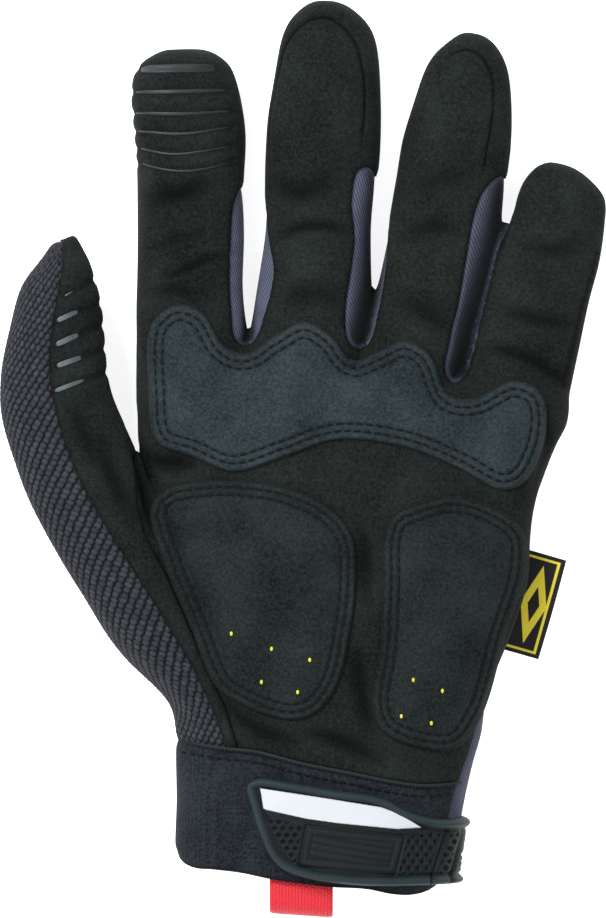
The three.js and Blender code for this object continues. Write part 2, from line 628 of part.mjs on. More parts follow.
// A band of webbing folded into a flat loop, sewn inside the cuff's palm side.
function makePullLoop() {
  const left = TAB_CORNER.x * CUFF_WIDTH / 2 + 0.07 * TAB_LENGTH;
  const cuff = bodySections()[1];
  const top = sectionTop(cuff, left, WALL) - GAP;
  const radius = LOOP_HEIGHT / 2;
  const length = LOOP_OUT + LOOP_IN - 2 * radius;
  const stadium = (path, round) => {
    path.moveTo(0, -round);
    path.lineTo(length, -round);
    path.absarc(length, 0, round, -Math.PI / 2, Math.PI / 2, false);
    path.lineTo(0, round);
    path.absarc(0, 0, round, Math.PI / 2, 3 * Math.PI / 2, false);
    return path;
  };
  const shape = stadium(new THREE.Shape(), radius);
  shape.holes.push(stadium(new THREE.Path(), radius - LOOP_WEBBING));
  const geometry = new THREE.ExtrudeGeometry(shape, { depth: LOOP_WIDTH, bevelEnabled: false, curveSegments: 8 });
  const stand = new THREE.Matrix4().makeBasis(
    new THREE.Vector3(0, 1, 0),
    new THREE.Vector3(0, 0, 1),
    new THREE.Vector3(1, 0, 0),
  );
  geometry.applyMatrix4(stand);
  geometry.translate(left, cuffEndAt(left) - LOOP_OUT + radius, top - radius);
  return toSolid(geometry);
}

// A woven tag folded into the seam at the palm's edge.
function makeSideTag() {
  const low = TAG_START * PALM_LENGTH;
  const start = new THREE.Vector2(rightEdge(low), low);
  const end = new THREE.Vector2(rightEdge(low + TAG_LENGTH), low + TAG_LENGTH);
  const along = end.clone().sub(start).setLength(TAG_LENGTH);
  const out = new THREE.Vector2(along.y, -along.x).normalize();
  const corner = (lengthwise, sideways) => start.clone()
    .addScaledVector(along, lengthwise)
    .addScaledVector(out, sideways);
  const outline = [corner(0, -TAG_TUCK), corner(0, TAG_OUT), corner(1, TAG_OUT), corner(1, -TAG_TUCK)];
  const plate = prism(outline, SIDE_SEAM_HEIGHT, SIDE_SEAM_HEIGHT + TAG_THICKNESS);
  return plate.subtract(hand(GAP));
}

const LEATHER = { color: 0x1e2423, roughness: 0.9 };
const PIECES = [
  { name: 'palm_leather', make: makePalm, ...LEATHER },
  { name: 'thumb_leather', make: makeThumbLeather, ...LEATHER },
  { name: 'back_panel', make: makeBackPanel, color: 0x4b4c5f, roughness: 0.85 },
  ...SIDE_WALLS.map((wall) => ({
    name: wall.name, make: () => makeSideWall(wall), color: 0x4b4c5f, roughness: 0.85,
  })),
  { name: 'thumb_knit', make: makeThumbKnit, color: 0x3e3e4a, roughness: 0.85 },
  { name: 'cuff', make: makeCuff, color: 0x2a3034, roughness: 0.9 },
  { name: 'knuckle_pad', make: () => makePad(KNUCKLE_PAD), color: 0x344044, roughness: 0.85 },
  { name: 'thenar_pad', make: () => makePad(THENAR_PAD), ...LEATHER },
  { name: 'hypothenar_pad', make: () => makePad(HYPOTHENAR_PAD), ...LEATHER },
  { name: 'closure_tab', make: makeTab, color: 0x2d3436, roughness: 0.55 },
  { name: 'closure_panel', make: () => onPlate(PANEL_OUTLINE, PANEL_THICKNESS), color: 0xf2f6fa, roughness: 0.4 },
  { name: 'closure_plaque', make: () => onPlate(PLAQUE_OUTLINE, PLAQUE_THICKNESS), color: 0x2d3436, roughness: 0.5 },
  { name: 'pull_loop', make: makePullLoop, color: 0xd7192d, roughness: 0.8 },
  { name: 'side_tag', make: makeSideTag, color: 0x16181a, roughness: 0.8 },
];

const glove = new THREE.Group();
glove.name = 'mechanic_glove';
for (const piece of PIECES) {
  const material = new THREE.MeshStandardMaterial({
    color: piece.color, roughness: piece.roughness, metalness: 0,
  });
  const mesh = new THREE.Mesh(toGeometry(piece.make()), material);
  mesh.name = piece.name;
  glove.add(mesh);
}

// The origin is under the middle of the whole glove, on the surface that it lies on.
const box = new THREE.Box3().setFromObject(glove);
glove.position.set(-(box.min.x + box.max.x) / 2, -(box.min.y + box.max.y) / 2, -box.min.z);

export default glove;
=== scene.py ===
"""The looks of a left-hand mechanic's work glove that lies on its back, seen from straight above the palm.

Lengths are in millimetres in the hand's own frame, whose origin is the middle of the cuff's hem on the
floor: +X to the little finger, +Y to the fingertips, +Z out of the palm. add_mesh turns them into metres
in the row's frame.

The hand is a distance field, the smooth union of the body and five digits. Its skin is cut along the
seams into the panels. Pads, closure, prints and stitches are laid over that skin. The pull loop and the
side tag have shapes of their own.
"""
import math

import bpy
import numpy as np
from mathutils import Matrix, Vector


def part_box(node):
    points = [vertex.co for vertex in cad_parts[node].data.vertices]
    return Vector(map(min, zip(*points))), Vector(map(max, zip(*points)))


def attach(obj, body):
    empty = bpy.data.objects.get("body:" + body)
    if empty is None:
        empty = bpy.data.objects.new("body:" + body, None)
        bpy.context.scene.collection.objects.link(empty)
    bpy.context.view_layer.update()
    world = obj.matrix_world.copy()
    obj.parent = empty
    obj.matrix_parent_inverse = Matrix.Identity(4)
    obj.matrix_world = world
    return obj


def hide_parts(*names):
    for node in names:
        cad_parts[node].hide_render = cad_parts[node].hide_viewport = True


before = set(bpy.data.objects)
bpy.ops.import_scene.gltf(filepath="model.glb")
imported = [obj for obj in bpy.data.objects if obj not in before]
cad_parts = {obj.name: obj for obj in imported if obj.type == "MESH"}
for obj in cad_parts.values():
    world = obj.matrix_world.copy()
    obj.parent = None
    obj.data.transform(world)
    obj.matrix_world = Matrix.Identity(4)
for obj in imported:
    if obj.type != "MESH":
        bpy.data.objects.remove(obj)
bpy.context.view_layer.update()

MM = 0.001
ROW_SHIFT = np.array([6.085, -84.473, 0.0])

# Hand, as in the frame.
PALM_WIDTH, PALM_LENGTH, PALM_DEPTH = 112.0, 105.0, 33.0
CUFF_WIDTH, CUFF_LENGTH, CUFF_DEPTH = 82.0, 33.0, 37.0
FINGER_WIDTH, FINGER_DEPTH = 30.5, 23.0
THUMB_WIDTH, THUMB_DEPTH = 33.0, 29.0
PALM_SKEW = -0.13
BODY_SQUARENESS, DIGIT_SQUARENESS = 2.5, 2.3
FLOOR_SINK = 1.0
SIDE_SEAM_HEIGHT = 8.5
HEM_SLANT = math.radians(9)
STRIP_EDGE = 37.6
STRIP_LENGTH = 16.0

# Skin: how the digits run into the palm, its grid, its wall, and the span that the palm side lies in
CREASE_BLEND = 0.9
ROOT_REACH, ROOT_FADE = 26.0, 0.3
SKEW_END = 1.2
SKIN_LOW, SKIN_HIGH = (-95.0, -47.0, -4.0), (83.0, 218.0, 46.0)
SKIN_STEP, SKIN_ROUNDS = 0.94, 2
SKIN_THICKNESS = 1.2
PALM_LOW, PALM_HIGH, EDGE_LOW = 16.0, 52.0, 12.0
HALVINGS = 15

# Curves through few points, and how sharply the cloth's drop sets in at the sides
CURVE_OVERLAP, CURVE_FINENESS = 3, 4000
SIDE_DROP = 3.0

# Seams: widths and depths, and painted shades, which run from 0 to 1 where they are darkest
SEAM_WIDTH, SEAM_SHADE = 0.7, 0.8
SIDE_SEAM_WIDTH, SIDE_SEAM_SHADE = 0.9, 0.9
TIP_SEAM_DEPTH, TIP_SEAM_WIDTH, TIP_SEAM_FADE, TIP_SEAM_REACH = 0.5, 0.35, 8, 0.6
TIP_SEAM_FACING = (0.1, 0.5)
TIP_MARGIN = 5.5
GAP_DARK = 0.35
WALL_SEAM_SHADE, WALL_SEAM_EDGE = 0.4, (0.6, 2.4)

# Knit of the thumb. Each of its waves has a rate, the cloth axis that it runs along and a start.
THUMB_RADIUS = 15.5
KNIT_LEAN = math.radians(45)
KNIT_COLUMN, KNIT_ROW, KNIT_HEIGHT = 2.1, 1.7, 0.42
KNIT_ROUND, KNIT_LEAST = 0.45, 0.25
KNIT_WAVE_HEIGHT = 0.12
KNIT_WAVES = [(0.31, 1, 0), (1.9, 1, 2), (1.7, 0, 1)]
KNIT_SCATTER = (12.9898, 78.233, 43758.5453)

# Soft unevenness of the skin
SEED = 7
WAVE_COUNT, WAVE_HEIGHT = 9, 0.09
WAVE_RATES = (0.2, 0.16, 0.2)

# Sections of the body: along, left, right, deep.
PALM_SECTIONS = np.array([
    (0.07, -0.373, 0.39, 1.08), (0.16, -0.383, 0.403, 1.06), (0.27, -0.41, 0.438, 1.05),
    (0.37, -0.435, 0.475, 1.04), (0.48, -0.45, 0.503, 1.02), (0.6, -0.463, 0.513, 0.99),
    (0.7, -0.468, 0.525, 0.96), (0.8, -0.466, 0.542, 0.93), (0.88, -0.464, 0.57, 0.89),
    (0.96, -0.466, 0.603, 0.82), (1.03, -0.45, 0.598, 0.68), (1.07, -0.42, 0.57, 0.46),
])
CUFF_SECTIONS = np.array([
    (-1.3, -0.505, 0.425, 0.98), (-0.8, -0.512, 0.445, 0.98), (-0.25, -0.505, 0.485, 0.97),
    (0, -0.508, 0.51, 0.96),
])

# Sections of the digits: along, mid, wide, deep, lift.
INDEX_SECTIONS = np.array([
    (0, 0.01, 1.0, 1.12, -0.02), (0.15, 0.01, 1.0, 1.06, -0.02), (0.35, 0, 0.98, 0.96, 0),
    (0.6, 0.01, 0.975, 0.92, 0.07), (0.8, -0.01, 1.018, 0.9, 0.16), (0.9, -0.03, 0.975, 0.83, 0.23),
    (0.95, -0.035, 0.86, 0.68, 0.31), (0.985, -0.028, 0.6, 0.45, 0.4), (1, -0.024, 0.26, 0.16, 0.48),
])
MIDDLE_SECTIONS = np.array([
    (0, -0.033, 1.0, 1.14, -0.02), (0.15, 0.045, 1.075, 1.06, -0.02), (0.26, 0.068, 1.07, 1.01, -0.01),
    (0.35, 0.065, 1.005, 0.97, 0), (0.6, 0.065, 1.035, 0.93, 0.06), (0.75, 0.073, 1.01, 0.9, 0.14),
    (0.86, 0.065, 0.917, 0.84, 0.22), (0.93, 0.06, 0.76, 0.7, 0.3), (0.98, 0.038, 0.46, 0.44, 0.42),
    (1, 0.01, 0.05, 0.05, 0.52),
])
RING_SECTIONS = np.array([
    (0, -0.035, 0.955, 1.12, -0.02), (0.15, -0.01, 0.96, 1.05, -0.02), (0.35, 0.08, 1.04, 0.96, 0),
    (0.46, 0.098, 1.085, 0.94, 0.03), (0.56, 0.07, 1.03, 0.92, 0.06), (0.72, 0.065, 0.97, 0.89, 0.14),
    (0.84, 0.052, 0.86, 0.83, 0.22), (0.92, 0.046, 0.69, 0.68, 0.3), (0.975, 0.05, 0.41, 0.43, 0.42),
    (1, 0.03, 0.05, 0.05, 0.52),
])
LITTLE_SECTIONS = np.array([
    (0, -0.061, 0.97, 1.04, -0.02), (0.2, -0.021, 1.016, 0.95, -0.01), (0.42, 0.006, 1.0, 0.89, 0.03),
    (0.65, 0.085, 0.925, 0.85, 0.1), (0.8, 0.109, 0.862, 0.8, 0.18), (0.9, 0.106, 0.77, 0.7, 0.26),
    (0.96, 0.07, 0.52, 0.5, 0.36), (1, 0.02, 0.05, 0.05, 0.5),
])
THUMB_SECTIONS = np.array([
    (0.02, 0.1, 0.82, 0.95, 0.06), (0.12, 0.105, 0.81, 1.02, 0.1), (0.25, -0.1, 0.94, 1.06, 0.16),
    (0.4, -0.3, 1.01, 1.02, 0.24), (0.55, -0.435, 1.01, 0.96, 0.3), (0.7, -0.513, 0.96, 0.9, 0.34),
    (0.8, -0.425, 0.92, 0.86, 0.36), (0.88, -0.287, 0.79, 0.78, 0.4), (0.94, -0.19, 0.62, 0.62, 0.46),
    (0.975, -0.1, 0.38, 0.42, 0.52), (1, -0.03, 0.15, 0.14, 0.58),
])

# Digits: root as shares of the palm from the hem's middle, lean towards the little finger in degrees.
DIGITS = {
    "index": dict(length=98.3, width=FINGER_WIDTH, depth=FINGER_DEPTH, lean=-0.5, root=(-0.333, 0.96),
                  sections=INDEX_SECTIONS),
    "middle": dict(length=112.2, width=FINGER_WIDTH, depth=FINGER_DEPTH, lean=3.6, root=(-0.0625, 0.96),
                   sections=MIDDLE_SECTIONS),
    "ring": dict(length=107.4, width=FINGER_WIDTH, depth=FINGER_DEPTH, lean=9.8, root=(0.2, 0.933),
                 sections=RING_SECTIONS),
    "little": dict(length=74.7, width=FINGER_WIDTH, depth=FINGER_DEPTH, lean=9.5, root=(0.4675, 0.893),
                   sections=LITTLE_SECTIONS),
    "thumb": dict(length=156.2, width=THUMB_WIDTH, depth=THUMB_DEPTH, lean=-17, root=(-0.2325, -0.027),
                  sections=THUMB_SECTIONS),
}

# Outlines on the palm, as shares of its width and length from the hem's middle.
KNUCKLE_PAD = [
    (-0.44, 0.98), (-0.432, 1.165), (-0.37, 1.215), (-0.3, 1.19), (-0.25, 1.105), (-0.2, 1.085),
    (-0.13, 1.13), (-0.05, 1.17), (0.02, 1.13), (0.07, 1.067), (0.12, 1.085), (0.2, 1.12),
    (0.265, 1.08), (0.31, 0.975), (0.37, 0.965), (0.47, 1.013), (0.54, 0.98), (0.552, 0.87),
    (0.5, 0.745), (0.44, 0.722), (0.33, 0.78), (0.2, 0.835), (0.03, 0.855), (-0.1, 0.81),
    (-0.23, 0.77), (-0.33, 0.81), (-0.42, 0.85),
]
THENAR_PAD = [
    (-0.435, 0.67), (-0.4, 0.725), (-0.31, 0.748), (-0.19, 0.748), (-0.08, 0.725), (0.015, 0.675),
    (0.07, 0.6), (0.078, 0.47), (0.065, 0.35), (0.03, 0.2), (-0.03, 0.125), (-0.1, 0.113),
    (-0.22, 0.16), (-0.27, 0.2), (-0.335, 0.36), (-0.4, 0.53),
]
HYPOTHENAR_PAD = [
    (0.148, 0.6), (0.17, 0.655), (0.23, 0.685), (0.325, 0.706), (0.43, 0.672), (0.498, 0.61),
    (0.502, 0.5), (0.454, 0.34), (0.392, 0.12), (0.33, 0.037), (0.24, 0.037), (0.145, 0.08),
    (0.118, 0.15), (0.138, 0.31), (0.145, 0.48),
]
THUMB_SEAM = [
    (-0.5, 1.6), (-0.493, 0.893), (-0.468, 0.837), (-0.468, 0.685), (-0.443, 0.594), (-0.395, 0.507),
    (-0.337, 0.363), (-0.287, 0.237), (-0.248, 0.147), (-0.213, 0.027), (-0.19, -0.3),
]
THUMB_FAR = 4
THUMB_OUTLINE = np.array(THUMB_SEAM + [(-THUMB_FAR, -THUMB_FAR), (-THUMB_FAR, THUMB_FAR)])
THUMB_BACK_SEAM = 0.8
CROTCH_HEIGHT = 95.0
STRIP_X, STRIP_SLOPE = 39.6, 0.3

# Lines traced on the photo, in its pixels. PHOTO_HEM is the pixel of the frame's origin.
PIXEL = 0.28
PHOTO_HEM = (325, 760)
HEM_LINE = [(140, 738), (182, 740), (223, 746), (254, 749), (302, 761), (352, 771), (391, 779), (420, 783),
            (449, 782), (500, 770)]
END_LINE = [(140, 830), (174, 846), (181, 857), (190, 862), (212, 864), (240, 867), (270, 873), (330, 881),
            (372, 884), (390, 888), (415, 889), (430, 885), (442, 877), (520, 866)]
KNIT_LINE = [(60, 200), (62, 275), (54, 320), (51, 374), (59, 419), (78, 474), (111, 533), (156, 604),
             (195, 671), (224, 743), (231, 790)]

# Side walls of the fingers: the digits on both sides, below what gap width shade is painted, and the
# outline from the left one's top round.
SIDE_WALLS = {
    "fourchette_index_middle": ("index", "middle", 4.8, [
        (245, 186), (236, 203), (232.5, 233), (231.5, 272), (233, 311), (235, 334), (240, 342), (246, 344),
        (253, 341), (259, 331), (265, 308), (270, 285), (272, 270), (269.5, 251), (267, 231), (264, 205),
        (254, 188)]),
    "fourchette_middle_ring": ("middle", "ring", 12.0, [
        (372, 168), (359, 171), (353, 200), (353.5, 212), (356, 235), (353, 262), (348, 295), (346, 320),
        (348, 336), (353, 345), (359, 348), (366, 345), (372, 334), (376, 317), (380, 297), (383, 280),
        (386, 255), (387, 235), (383, 200)]),
    "fourchette_ring_little": ("ring", "little", 13.5, [
        (505, 176), (487, 188), (476, 211), (467, 258), (459, 303), (450, 345), (446, 367), (449, 377),
        (455, 381), (463, 376), (471, 354), (479, 323), (488, 290), (499, 249), (506, 228), (512, 200)]),
}

# Grip lines: half width of the print, the share of the line that is printed, and the line. Between the
# swelling bands lie creases, which fade out above GRIP_FLOOR.
# Shade is painted towards each print's ends, so that its lit part reads as a highlight.
RIDGE_HEIGHT, RIDGE_END_SHADE = 0.34, 0.8
GRIP_DEPTH, GRIP_WIDTH, GRIP_SHADE, GRIP_REACH = 0.6, 1.1, 0.5, 22.0
GRIP_FLOOR, GRIP_FADE = 5.0, 3
INDEX_GRIP = [
    (1.25, 1.0, [(139, 69), (180, 68), (217, 68)]),
    (0.6, 1.0, [(133, 92), (160, 92), (229, 90)]),
    (0.5, 1.0, [(133, 113), (185, 114), (233, 111)]),
    (0.4, 1.0, [(135, 131), (180, 134), (233, 127)]),
    (0.35, 1.0, [(137, 148), (170, 154), (205, 151), (233, 146)]),
    (0.35, 1.0, [(139, 163), (162, 169), (182, 171), (205, 169), (233, 162)]),
]
# On the thumb the light printed bands are painted highlights: each covers only the lit part of its ridge.
THUMB_GRIP = [
    (0.25, 0.3, [(66, 296), (80, 288), (98, 279)]),
    (0.75, 0.52, [(58, 321), (81, 311), (104, 303)]),
    (0.8, 0.52, [(57, 345), (82, 334), (106, 325)]),
    (0.8, 0.52, [(58, 366), (86, 356), (110, 347)]),
    (0.65, 0.56, [(56, 391), (88, 379), (112, 371)]),
]
TIP_SEAMS = [
    [(190, 49), (204, 55), (213, 62), (221, 72), (229, 87), (234, 114), (235, 167), (235, 196)],
    [(269, 160), (272, 110), (278, 72), (289, 40), (303, 25), (324, 18), (342, 27), (355, 43), (363, 68),
     (366, 97), (363, 135), (360, 168)],
    [(440, 66), (453, 53), (469, 50), (481, 56), (490, 72), (493, 108), (488, 145), (482, 184)],
]
SIDE_SEAM = [(598, 252), (593, 272), (585, 302), (577, 333), (570, 362), (566, 384)]

# Folds: depth, half width, line. Beside each lies a swell, a share of its depth and some half widths off.
FOLD_STRENGTH = 1.3
FOLD_SWELL, FOLD_SWELL_OFF, FOLD_REACH, FOLD_END = 0.35, 1.6, 4, 0.02
FOLD_FACING = (0.0, 0.5)
FOLDS = [
    (0.9, 1.3, [(160, 279), (173, 274), (189, 268), (219, 257), (232, 256)]),
    (1.0, 3.2, [(145, 210), (162, 197), (185, 193), (212, 180)]),
    (0.7, 2.2, [(150, 292), (175, 289), (205, 300)]),
    (0.5, 1.6, [(150, 250), (175, 240), (205, 232)]),
    (0.9, 1.6, [(275, 238), (300, 228), (330, 226), (352, 232)]),
    (0.7, 3.0, [(268, 180), (300, 192), (335, 176)]),
    (0.6, 3.2, [(280, 300), (312, 292), (345, 300)]),
    (0.6, 2.4, [(405, 237), (430, 227), (462, 229)]),
    (0.5, 3.0, [(410, 190), (440, 180), (478, 178)]),
    (0.6, 3.0, [(400, 300), (428, 312), (455, 330)]),
    (0.9, 1.8, [(480, 350), (515, 352), (545, 366), (574, 388)]),
    (0.7, 2.2, [(505, 310), (535, 318), (577, 326)]),
    (0.6, 2.6, [(522, 245), (550, 250), (585, 245)]),
    (2.6, 2.6, [(139, 446), (146, 470), (151, 500), (158, 535)]),
    (0.9, 2.5, [(143, 455), (170, 462), (200, 460)]),
    (0.7, 3.0, [(96, 430), (112, 470), (135, 520)]),
    (0.6, 3.0, [(70, 400), (85, 430), (100, 470)]),
    (0.9, 2.4, [(356, 640), (362, 690), (372, 735)]),
    (0.8, 2.6, [(300, 728), (340, 738), (380, 758)]),
    (0.8, 2.2, [(215, 690), (250, 722), (300, 742)]),
    (0.7, 2.4, [(360, 520), (366, 560), (364, 600)]),
    (0.6, 3.0, [(505, 560), (512, 600), (500, 650)]),
    (0.8, 2.6, [(540, 400), (548, 440), (535, 500)]),
]

# Panels of the skin. tuck is how far a panel runs on under its neighbour, or stops short of it below 0.
# sink is how deep its edge lies there, and roll how wide its edge is rounded.
SUEDE_PANEL = dict(slot="palm_suede", tuck=-0.1, sink=0.35, roll=0.7)
PANELS = {
    "palm_leather": SUEDE_PANEL,
    "thumb_leather": SUEDE_PANEL,
    "back_panel": dict(slot="back_fabric", tuck=0.8, sink=0.7, roll=1.6),
    **dict.fromkeys(SIDE_WALLS, dict(slot="side_wall_fabric", tuck=0.9, sink=0.9, roll=2.6)),
    "thumb_knit": dict(slot="thumb_knit", tuck=0.9, sink=0.8, roll=2.0),
    "cuff": dict(slot="cuff_elastic", tuck=0.8, sink=0.8, roll=1.6),
}

# Pads, with an edge rolled down to the leather, two sewn channels and a soft crown inside them
PADS = {
    "knuckle_pad": (KNUCKLE_PAD, "knuckle_suede"),
    "thenar_pad": (THENAR_PAD, "heel_suede"),
    "hypothenar_pad": (HYPOTHENAR_PAD, "heel_suede"),
}
PAD_STEP = 0.5
PAD_LIFT, PAD_CROWN, PAD_CROWN_EDGE = 1.5, 1.1, 12
PAD_ROLL = 1.2
# Shade is painted at the foot of the pad's edge and in its channels.
PAD_EDGE_WIDTH, PAD_EDGE_SHADE = 0.5, 0.8
CHANNELS = (2.3, 4.4)
CHANNEL_DEPTH, CHANNEL_WIDTH, CHANNEL_SHADE = 0.6, 0.45, 0.45
PAD_STITCH_PITCH, PAD_STITCH_LIFT = 2.8, 0.1

# Printed dots of the heel pads, in pixels of the photo
DOTS = [(232, 632), (272, 647), (310, 658), (262, 680), (298, 690), (413, 678), (442, 689), (401, 714),
        (431, 721)]
DOT_RADII, DOT_HEIGHT, DOT_LIFT, DOT_MIDDLE = (0.42, 0.62), 0.3, 0.02, 0.02
DOT_RINGS, DOT_SIDES = 5, 16

# Stitches, and ribbons with an edge that lies just under the skin
STITCH_SIDES, STITCH_RINGS = 6, 7
STITCH_LENGTH, STITCH_RADIUS, STITCH_ARCH, STITCH_BLUNTNESS = 2.1, 0.3, 0.12, 1.02
RIBBON_STEP, RIBBON_COLUMNS = 0.6, 9
RIBBON_THICKNESS, RIBBON_SINK = 0.25, 0.05
RIBBON_TAPER, RIBBON_END = 6, 0.02
# Shade painted towards a print's ends: where it rises to the last end and falls from the first, in shares of
# its length
SHADE_TO_END, SHADE_FROM_START = (0.3, 1), (0, 0.12)

# Hem of the glove: its ends, its binding, and the stitches over the binding and beside it
HEM_LEFT, HEM_RIGHT = -39.5, 38.3
BINDING_HALF_WIDTH, BINDING_HEIGHT = 0.45, 0.45
OVERLOCK_OFF, OVERLOCK = 0.3, dict(pitch=0.85, lift=0.22, length=1.3, radius=0.17, turn=math.radians(52))
HEM_STITCH_END, HEM_STITCH_OFF, HEM_STITCHES = 35.0, 3.0, dict(pitch=2.4, lift=0.05)
SIDE_STITCHES = dict(pitch=2.6, lift=0.1, length=1.8, turn=math.radians(60))

# Closure: a moulded tab that follows the cuff's section round the wrist's edge. Outlines are shares of its
# length and width.
GAP = 0.3
TAB_LENGTH, TAB_WIDTH = 60.5, 27.3
TAB_CORNER = np.array([-0.478 * CUFF_WIDTH / 2, -1.046 * CUFF_LENGTH])
TAB_PLATE, TAB_RIM, TAB_RIM_WIDTH = 1.8, 1.1, 2.6
TAB_FOOT_HEIGHT = 5.0
TAB_TURN = 40.0
TAB_STEP = 0.25
TAB_OUTLINE = [
    (-0.03, 1.03), (0.02, 1.1), (0.16, 1.063), (0.38, 0.98), (0.53, 0.937), (0.61, 0.884), (0.68, 0.79),
    (0.755, 0.726), (0.84, 0.684), (1.18, 0.674), (1.18, 0.04), (0.93, 0.02), (0.6, 0), (0.38, 0.03),
    (0.236, 0.084), (0.134, 0.168), (0.079, 0.284), (0.037, 0.474), (-0.01, 0.8),
]
PANEL_OUTLINE = [
    (0.03, 1.0), (0.3, 0.91), (0.58, 0.81), (0.667, 0.737), (0.76, 0.6), (0.65, 0.585), (0.38, 0.645),
    (0.236, 0.69), (0.045, 0.785),
]
PLAQUE_OUTLINE = [(0.245, 0.61), (0.676, 0.505), (0.634, 0.137), (0.213, 0.221)]
TAB_GROOVES = [[(442, 828), (426, 880)], [(457, 828), (443, 880)]]
TAB_THICKNESS, PANEL_THICKNESS, PLAQUE_THICKNESS = 1.6, 0.5, 0.6

# Grid of the closure: how far it runs on beside the tab, its last row, and the turns that it spans
GRID_MARGIN, GRID_TOP = 3, 1.5
GRID_TURNS, GRID_FINENESS = np.radians((152, -62)), 900

# Relief of the tab: the rim fades to its turned end, a moat runs inside the rim, and dimples fill the field
# between moat, panel, plaque and grooves. Shares are of the rim's width.
# Shade is painted in the moat, the ditch, the grooves and the dimples, and over the plate inside the rim.
RIM_FADE, RIM_FADE_LENGTH, RIM_INNER_SHARE = 0.6, 6, 1.05
MOAT_SHARE, MOAT_WIDTH, MOAT_DEPTH, MOAT_SHADE = 1.15, 0.45, 0.5, 0.9
PLATE_SHARES, PLATE_SHADE = (0.8, 1.1), 0.84
FIELD_SHARE, FIELD_EDGE = 1.2, 0.6
PANEL_RIM_OFF, PANEL_RIM_WIDTH, PANEL_RIM_HEIGHT = 1.0, 0.55, 0.6
DITCH_OFF, DITCH_WIDTH, DITCH_DEPTH, DITCH_SHADE = 0.5, 0.35, 0.5, 0.9
PLAQUE_SINK, PLAQUE_SINK_EDGE = 0.3, 0.6
PANEL_CLEAR, PLAQUE_CLEAR, GROOVE_CLEAR = (1.9, 2.3), (1.2, 1.6), (0.9, 1.3)
GROOVE_WIDTH, GROOVE_DEPTH = 0.5, 0.9
DIMPLE_PITCH, DIMPLE_DEPTH, DIMPLE_RADIUS = 2.3, 0.8, 0.6
DIMPLE_ROW, DIMPLE_SHARPNESS = 0.8, 4

# Relief of the panel and the plaque: a rounded edge, and the plaque's frame and level ribs
PLATE_EDGE, PLATE_EDGE_HEIGHT = 0.4, 0.45
FRAME_OFF, FRAME_WIDTH, FRAME_HEIGHT = 0.9, 0.4, 0.25
RIB_PITCH, RIB_SLOPE, RIB_HEIGHT, RIB_SPAN, RIB_CLEAR = 1.9, 0.17, 0.25, (0.22, 0.3), (2.0, 2.5)
# Shade is painted over the whole plaque, and more between its ribs.
PLAQUE_SHADE, RIB_SHADE, RIB_SHADE_CLEAR = 0.72, 0.2, (1.2, 1.8)

# Pull loop and side tag
LOOP_WIDTH, LOOP_HEIGHT, LOOP_WEBBING = 17.6, 8.4, 1.4
LOOP_DROP = 1.2
LOOP_SLANT = math.radians(4)
LOOP_STEPS, LOOP_BEND_STEPS, LOOP_SIDES = 150, 16, 28
LOOP_FLATNESS, LOOP_EDGE_ROUNDNESS = 0.25, 0.6
TAG_CORNERS = [(529, 549), (567, 560), (539, 659), (504, 649)]
TAG_ROWS, TAG_COLUMNS = 40, 24
TAG_THICKNESS = 0.8
TAG_TUCK = 2.0
TAG_TIP_LIFT = 1.2

# Design of the tag, as shares of its width: the edges of the frame line, and the lozenge's place and edges
TAG_ASPECT = 2.6
TAG_LINE_OUTSIDE, TAG_LINE_INSIDE, TAG_LINE_BUMP = (0.09, 0.11), (0.15, 0.17), 0.6
LOZENGE_MIDDLE, LOZENGE_STRETCH = (0.56, 0.5), (1.25, 0.95)
LOZENGE_INSIDE, LOZENGE_OUTSIDE = (0.16, 0.18), (0.36, 0.38)
TAG_WEAVE_ROWS = 60

# Grain of the materials: sizes in millimetres, and the weights that make up a tone, which runs from the
# dark to the light colour, or a bump. A weight more than there are values is added on its own.
# Painted shade: the black that a material turns to where shade is painted on its piece, and how far each
# goes.
PAINTED_SHADE_BLACK = (0.0015, 0.0017, 0.0018, 1)
SUEDE_PAINTED_SHADE, TWILL_PAINTED_SHADE, KNIT_PAINTED_SHADE, RUBBER_PAINTED_SHADE = 0.85, 0.93, 0.8, 0.9
PATCH_SIZE, MOTTLE_SIZE, NAP_SIZE, FIBRE_SIZE = 16.0, 0.9, 0.35, 0.5
FIBRE_SPAN, FIBRE_SHARE, FIBRE_LIGHT = (0.68, 0.76), 0.35, 2.2
SUEDE_TONE, SUEDE_BUMP = (1.2, 2.6, -1.4), (0.8, 0.5)
TWILL_WALE, TWILL_YARN, TWILL_YARN_PITCH, TWILL_CLOUD = (0.9, 0.55), (-0.6, 1), 1.4, 6.0
TWILL_RELIEF, TWILL_TONE = (0.75, 0.25), (0.8, 0.5, -0.15)
KNIT_YARN, KNIT_SPAN, KNIT_SHADES, KNIT_TONE = 0.4, (0.3, 0.95), (0.35, 0.55), (1, 0.6, -0.3)
ELASTIC_FLECK, ELASTIC_CLOUD = 0.8, 14.0
ELASTIC_RELIEF, ELASTIC_TONE, ELASTIC_BUMP = (0.5, 0.5), (0.2, 1.9, 0.6, -1.05), (0.4, 1)
RUBBER_BLOOM, RUBBER_GRAIN, RUBBER_ROUGHENING = 5.0, 0.25, 0.14
FILM_MARKS, FILM_ROUGHNESS = 7.0, (0.15, 0.22)
WEBBING_GRAIN, WEBBING_RELIEF, WEBBING_SHARPNESS, WEBBING_TONE = 0.5, (0.5, 0.5), 1.5, (0.75, 0.8, -0.15)
YARN_STRANDS, FLOOR_CLOUD = 0.3, 60.0

